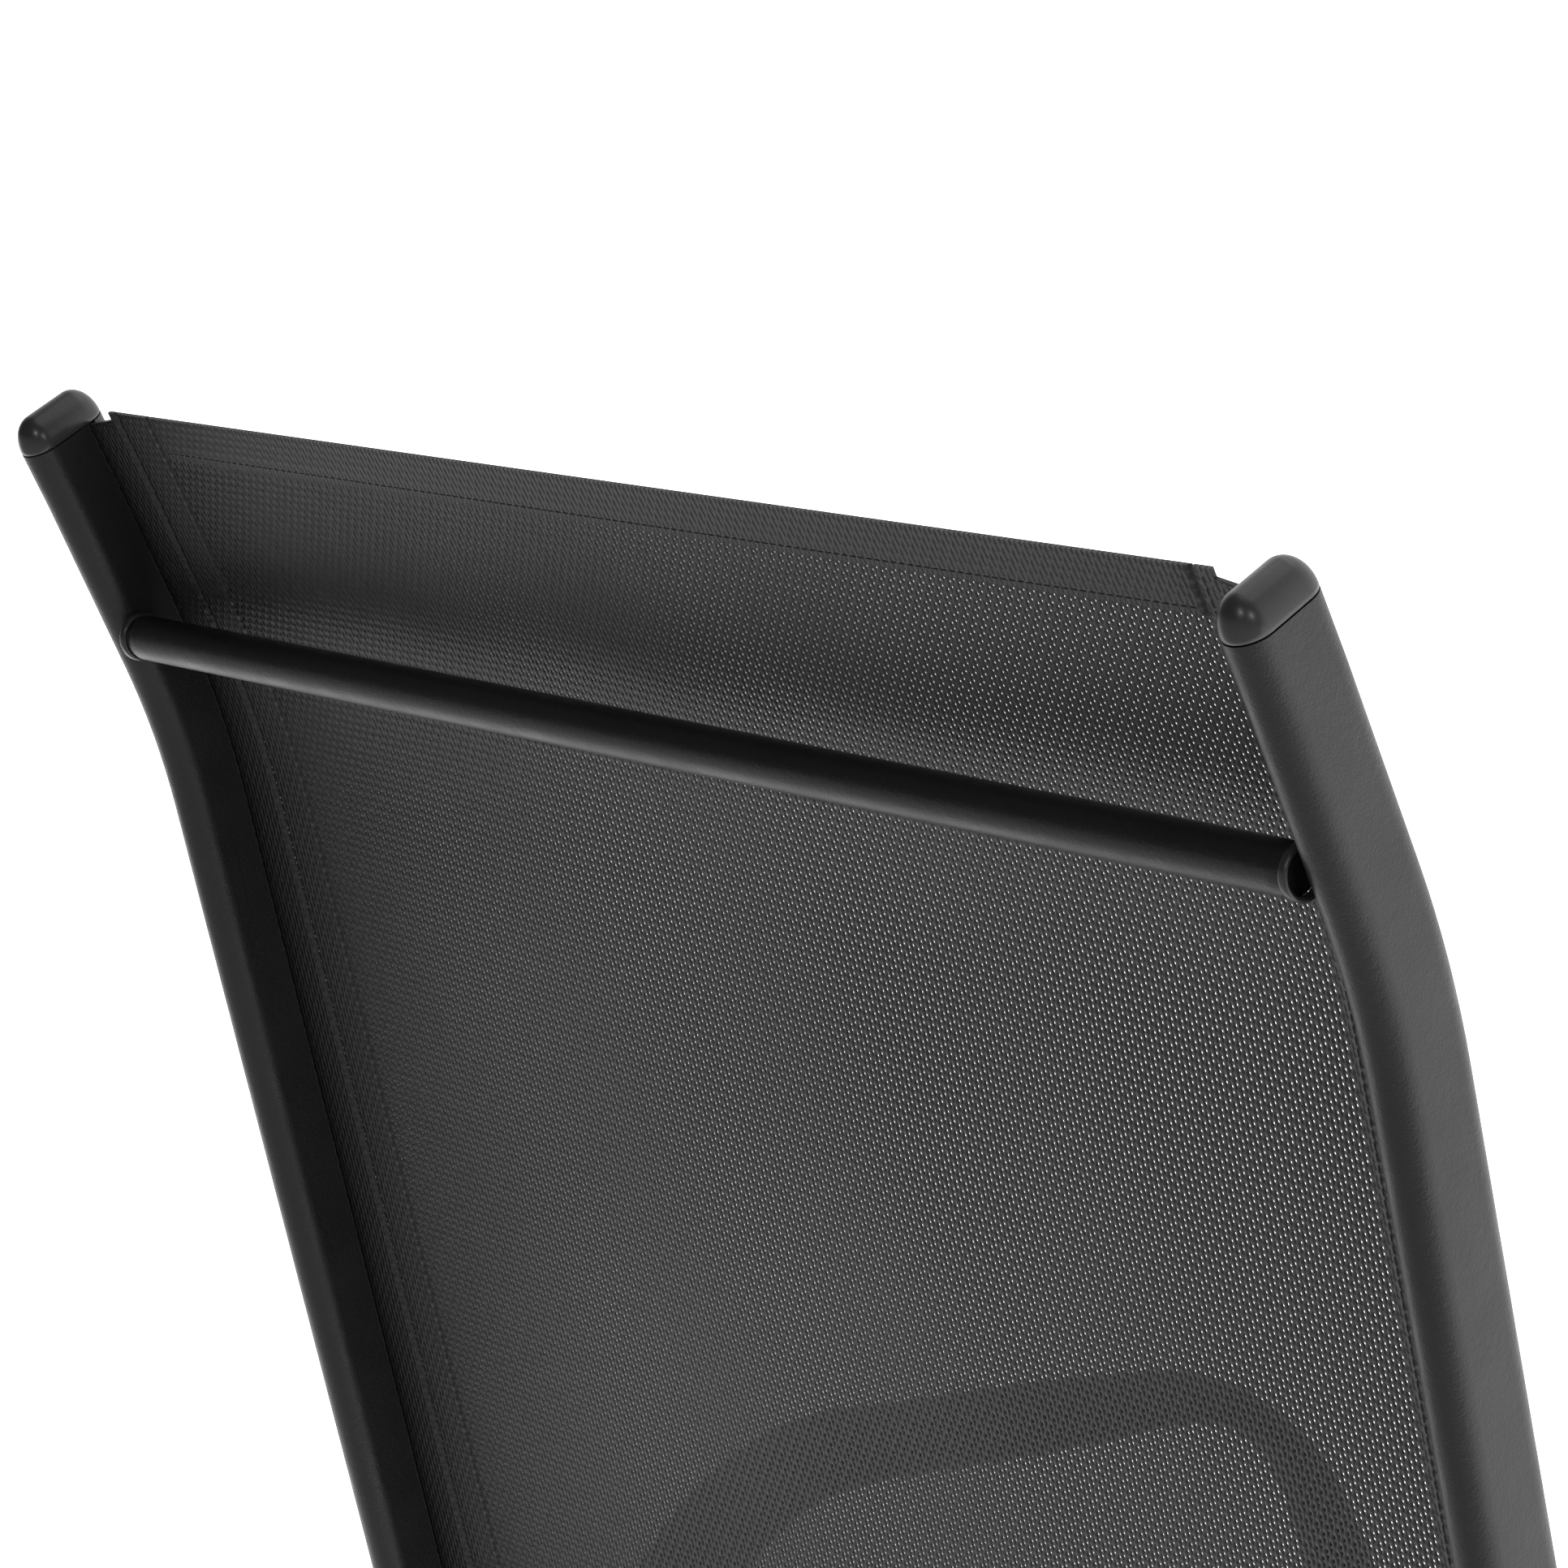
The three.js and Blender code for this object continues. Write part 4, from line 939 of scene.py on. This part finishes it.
# %% Sheets
SHEET = 0.35 * MM
DOUBLE = 1.15 * MM
BACK_HEMS = {-1: ((2.2 * MM, 20.6 * MM), (23.0 * MM, 40.1 * MM)), 1: ((2.2 * MM, 24.6 * MM),)}
SEAT_HEMS = {side: ((2.2 * MM, 30.1 * MM),) for side in (-1, 1)}
HEM_GAP = 1.6 * MM
END_HEM = 15.8 * MM
SLING_UP, SLING_ABOVE, SLING_ABOVE_INSET = 48 * MM, 6 * MM, 16 * MM
EDGE_GAP, INSET_WITHIN, INSET_GAP = 2 * MM, 3 * MM, 0.3 * MM
BACK_SLACK, SEAT_SLACK, SLACK_WITHIN = 1.5 * MM, 2.0 * MM, 60 * MM
HEM_ROUND = (0.0, 0.25 * MM, 0.8 * MM)
GRID = 9.0 * MM


class Sling:
    """A stretched sheet: where each point of its flat cut lies, and how thick it is there."""

    def __init__(self, stations, start, length, half, slack, hems):
        self.stations, self.start, self.length, self.half = stations, start, length, half
        self.slack, self.hems = slack, hems
        self.run = distances(stations)

    def hem_end(self, side):
        return self.hems[side][-1][1]

    def ripple(self, x, s):
        """How far the slack cloth hangs back from the rails' own line."""
        free = self.half - self.hem_end(1 if x > 0 else -1)
        middle_share = math.cos(math.pi / 2 * min(1.0, abs(x) / free)) ** 0.8
        end = min(s, self.length - s)
        end_share = min(1.0, max(0.0, end - END_HEM) / SLACK_WITHIN)
        waves = (0.55 * math.sin(math.tau * (s / 0.37 + x / 0.95) + 0.4)
                 + 0.40 * math.sin(math.tau * (s / 0.145 - x / 0.36) + 1.9)
                 + 0.25 * math.sin(math.tau * (x / 0.115 + s / 0.52)))
        return self.slack * middle_share * end_share * (0.8 + waves)

    def doubled(self, x, s):
        """1 on a hem, 0 on single cloth, and between them on a hem's rounded edge."""
        from_edge, at = self.half - abs(x), 1 if x > 0 else -1
        side = max(min(from_edge - start, end - from_edge) for start, end in self.hems[at])
        inner = from_edge - self.hem_end(at) - HEM_GAP
        end = min(END_HEM - min(s, self.length - s), inner)
        depth = max(side, end) / HEM_ROUND[-1]
        return math.sqrt(max(0.0, 1 - (1 - min(max(depth, 0.0), 1.0)) ** 2))

    def point(self, x, s, front, lift=0.0):
        y, z, way = station_at(self.stations, self.run, self.start + s)
        past = self.start + s - self.run[-1]
        if past > 0:
            inset = (SLING_ABOVE_INSET - INSET_GAP) * min(1.0, past / INSET_WITHIN)
            limit = self.half - EDGE_GAP - inset
            x = max(-limit, min(limit, x))
        offset = GROOVE_OFFSET - self.ripple(x, s)
        if front:
            offset += SHEET / 2 + lift
        else:
            offset -= SHEET / 2 + (DOUBLE - SHEET) * self.doubled(x, s) + lift
        return Vector((x, y + offset * math.sin(way), z - offset * math.cos(way)))


def grid_lines(low, high, folds):
    """Evenly spaced lines from low to high, with closer ones where a hem's edge rounds."""
    count = max(2, round((high - low) / GRID))
    even = [low + (high - low) * i / count for i in range(count + 1)]
    close = [fold + way * d for fold, way in folds for d in HEM_ROUND]
    kept = [x for x in even[1:-1] if all(abs(x - c) > GRID / 5 for c in close)]
    return sorted([low, high, *kept, *close])


def sling_mesh(name, sling):
    half, length = sling.half, sling.length
    side_folds = []
    for side in (-1, 1):
        edges = [(edge, way) for start, end in sling.hems[side] for edge, way in ((start, -1), (end, 1))]
        edges.append((sling.hem_end(side) + HEM_GAP, -1))
        side_folds += [(side * (half - edge), side * way) for edge, way in edges]
    xs = grid_lines(-half, half, side_folds)
    ss = grid_lines(0, length, [(END_HEM, -1), (length - END_HEM, 1)])
    rail_end = sling.run[-1] - sling.start
    if rail_end < length:
        ss = sorted(ss + [rail_end - 0.1 * MM, rail_end + 0.2 * MM, rail_end + INSET_WITHIN])
    bm = bmesh.new()
    flat_map = bm.loops.layers.uv.new("flat_cloth")
    layers = bm.verts.layers.float.new(LAYERS)
    flat_place = {}
    faces = []
    for front in (True, False):
        rows = []
        for s in ss:
            row = []
            for x in xs:
                vertex = bm.verts.new(sling.point(x, s, front))
                vertex[layers] = 1 + sling.doubled(x, s)
                flat_place[vertex] = (x + half, s)
                row.append(vertex)
            rows.append(row)
        faces.append(rows)
    front_rows, back_rows = faces
    for rows, flip in ((front_rows, False), (back_rows, True)):
        for low, high in zip(rows, rows[1:]):
            for i in range(len(xs) - 1):
                corners = (low[i], low[i + 1], high[i + 1], high[i])
                bm.faces.new(corners[::-1] if flip else corners)
    edges = [(front_rows[0], back_rows[0]), (back_rows[-1], front_rows[-1]),
             ([r[0] for r in back_rows], [r[0] for r in front_rows]),
             ([r[-1] for r in front_rows], [r[-1] for r in back_rows])]
    for one, other in edges:
        for i in range(len(one) - 1):
            bm.faces.new((one[i + 1], one[i], other[i], other[i + 1]))
    for face in bm.faces:
        for loop in face.loops:
            loop[flat_map].uv = flat_place[loop.vert]
    bmesh.ops.remove_doubles(bm, verts=bm.verts, dist=1e-6)
    bmesh.ops.recalc_face_normals(bm, faces=bm.faces)
    data = bpy.data.meshes.new(name)
    bm.to_mesh(data)
    bm.free()
    data.materials.append(woven)
    data.shade_smooth()
    data.set_sharp_from_angle(angle=math.radians(75))
    return new_object(name, data)


def sling_size(node):
    low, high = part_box(node)
    return (high.x - low.x) / 2


back_run = distances(back_route)
BACK_SLING_START = BACK_STUB + SLING_UP
back_sling = Sling(back_route, BACK_SLING_START, back_run[-1] + SLING_ABOVE - BACK_SLING_START,
                   sling_size("back_sling"), BACK_SLACK, BACK_HEMS)
seat_low, seat_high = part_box("seat_sling")
seat_sling = Sling(base_route, rail_high.y - seat_high.y, seat_high.y - seat_low.y,
                   sling_size("seat_sling"), SEAT_SLACK, SEAT_HEMS)
back_cloth = sling_mesh("back_sling_cloth", back_sling)
seat_cloth = sling_mesh("seat_sling_cloth", seat_sling)
print("back sling", round(2 * back_sling.half, 3), "by", round(back_sling.length, 3), "m")
print("seat sling", round(2 * seat_sling.half, 3), "by", round(seat_sling.length, 3), "m")

# %% [markdown]
# ## Stitching
# Every hem is held by a row of lock stitches, seen on both faces. One stitch is a short rounded thread;
# a tree walks along each seam at the stitch length and lays one at every step.

# %% Stitches
STITCH_STEP, STITCH_LENGTH, THREAD = 3.4 * MM, 2.6 * MM, 0.26 * MM
SEAM_FROM_EDGE = 2.6 * MM
SEAM_STEPS = 160
STITCH_SIDES = 6


def stitch_tree():
    inputs = {"Stitch": "Object", "Step": "Float", "Material": "Material"}
    tree, wires, given = new_tree("stitches_along_seam", inputs)
    steps = wires.node("GeometryNodeResampleCurve", {"Curve": given["Geometry"], "Length": given["Step"]},
                       mode="LENGTH")
    shape = wires.node("GeometryNodeObjectInfo", {"Object": given["Stitch"]})
    way = wires.node("GeometryNodeInputTangent").outputs["Tangent"]
    turn = wires.node("FunctionNodeAlignRotationToVector", {"Vector": way}, axis="X")
    copies = wires.node("GeometryNodeInstanceOnPoints", {
        "Points": steps.outputs["Curve"], "Instance": shape.outputs["Geometry"], "Rotation": turn.outputs[0]})
    end_tree(wires, copies.outputs["Instances"], given["Material"])
    return tree


stitches_along_seam = stitch_tree()


def one_stitch():
    half = STITCH_LENGTH / 2
    profile = [(-half, 0.35), (-half * 0.75, 0.85), (0, 1.0), (half * 0.75, 0.85), (half, 0.35)]
    turns = [math.tau * k / STITCH_SIDES for k in range(STITCH_SIDES)]
    rings = [[(x, THREAD * r * math.cos(t), THREAD * r * math.sin(t)) for t in turns] for x, r in profile]
    return smooth(mesh_object("stitch", rings, sewing_thread), 80)


def seam_lines(sling, end_hems):
    """The seams of a sling as lists of points, on both its faces."""
    half, length = sling.half, sling.length
    steps = SEAM_STEPS
    seams = []
    for front in (True, False):
        for side in (-1, 1):
            x = side * (half - sling.hem_end(side) + SEAM_FROM_EDGE)
            seams.append([sling.point(x, length * k / steps, front) for k in range(1, steps)])
        left, right = (side * (half - sling.hem_end(side) - 2 * SEAM_FROM_EDGE) for side in (-1, 1))
        for s in end_hems:
            seams.append([sling.point(left + (right - left) * k / steps, s, front) for k in range(steps + 1)])
    return seams


def stitched(name, sling, body):
    inset = END_HEM - SEAM_FROM_EDGE
    seams = drawn_curve("seams", seam_lines(sling, (inset, sling.length - inset)))
    stitch = one_stitch()
    made = grow(seams, stitches_along_seam, name,
                Stitch=stitch, Step=STITCH_STEP, Material=sewing_thread)
    bpy.data.objects.remove(stitch)
    made.data.shade_smooth()
    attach(made, body)
    print(name, len(made.data.polygons), "faces")
    return made


for cloth, sling, body in ((back_cloth, back_sling, "back"), (seat_cloth, seat_sling, "base")):
    node = cloth.name.removesuffix("_cloth")
    stand_in(cloth, body, "sling_mesh", node)
    seams = stitched(node + "_stitches", sling, body)

# %% [markdown]
# ## What stays from the frame
# The cords that hold the cloth in its grooves are hidden but for their ends, and their shape is already
# right, so those nodes only take a finish.

# %% Cords
for node in sorted(n for n in frame["nodes"] if "spline" in n):
    cord = frame["nodes"][node]
    for slot_index in range(len(cord.material_slots)):
        cord.material_slots[slot_index].material = keder_cord
print("bare frame nodes still shown:", [n for n, o in frame["nodes"].items() if not o.hide_render])
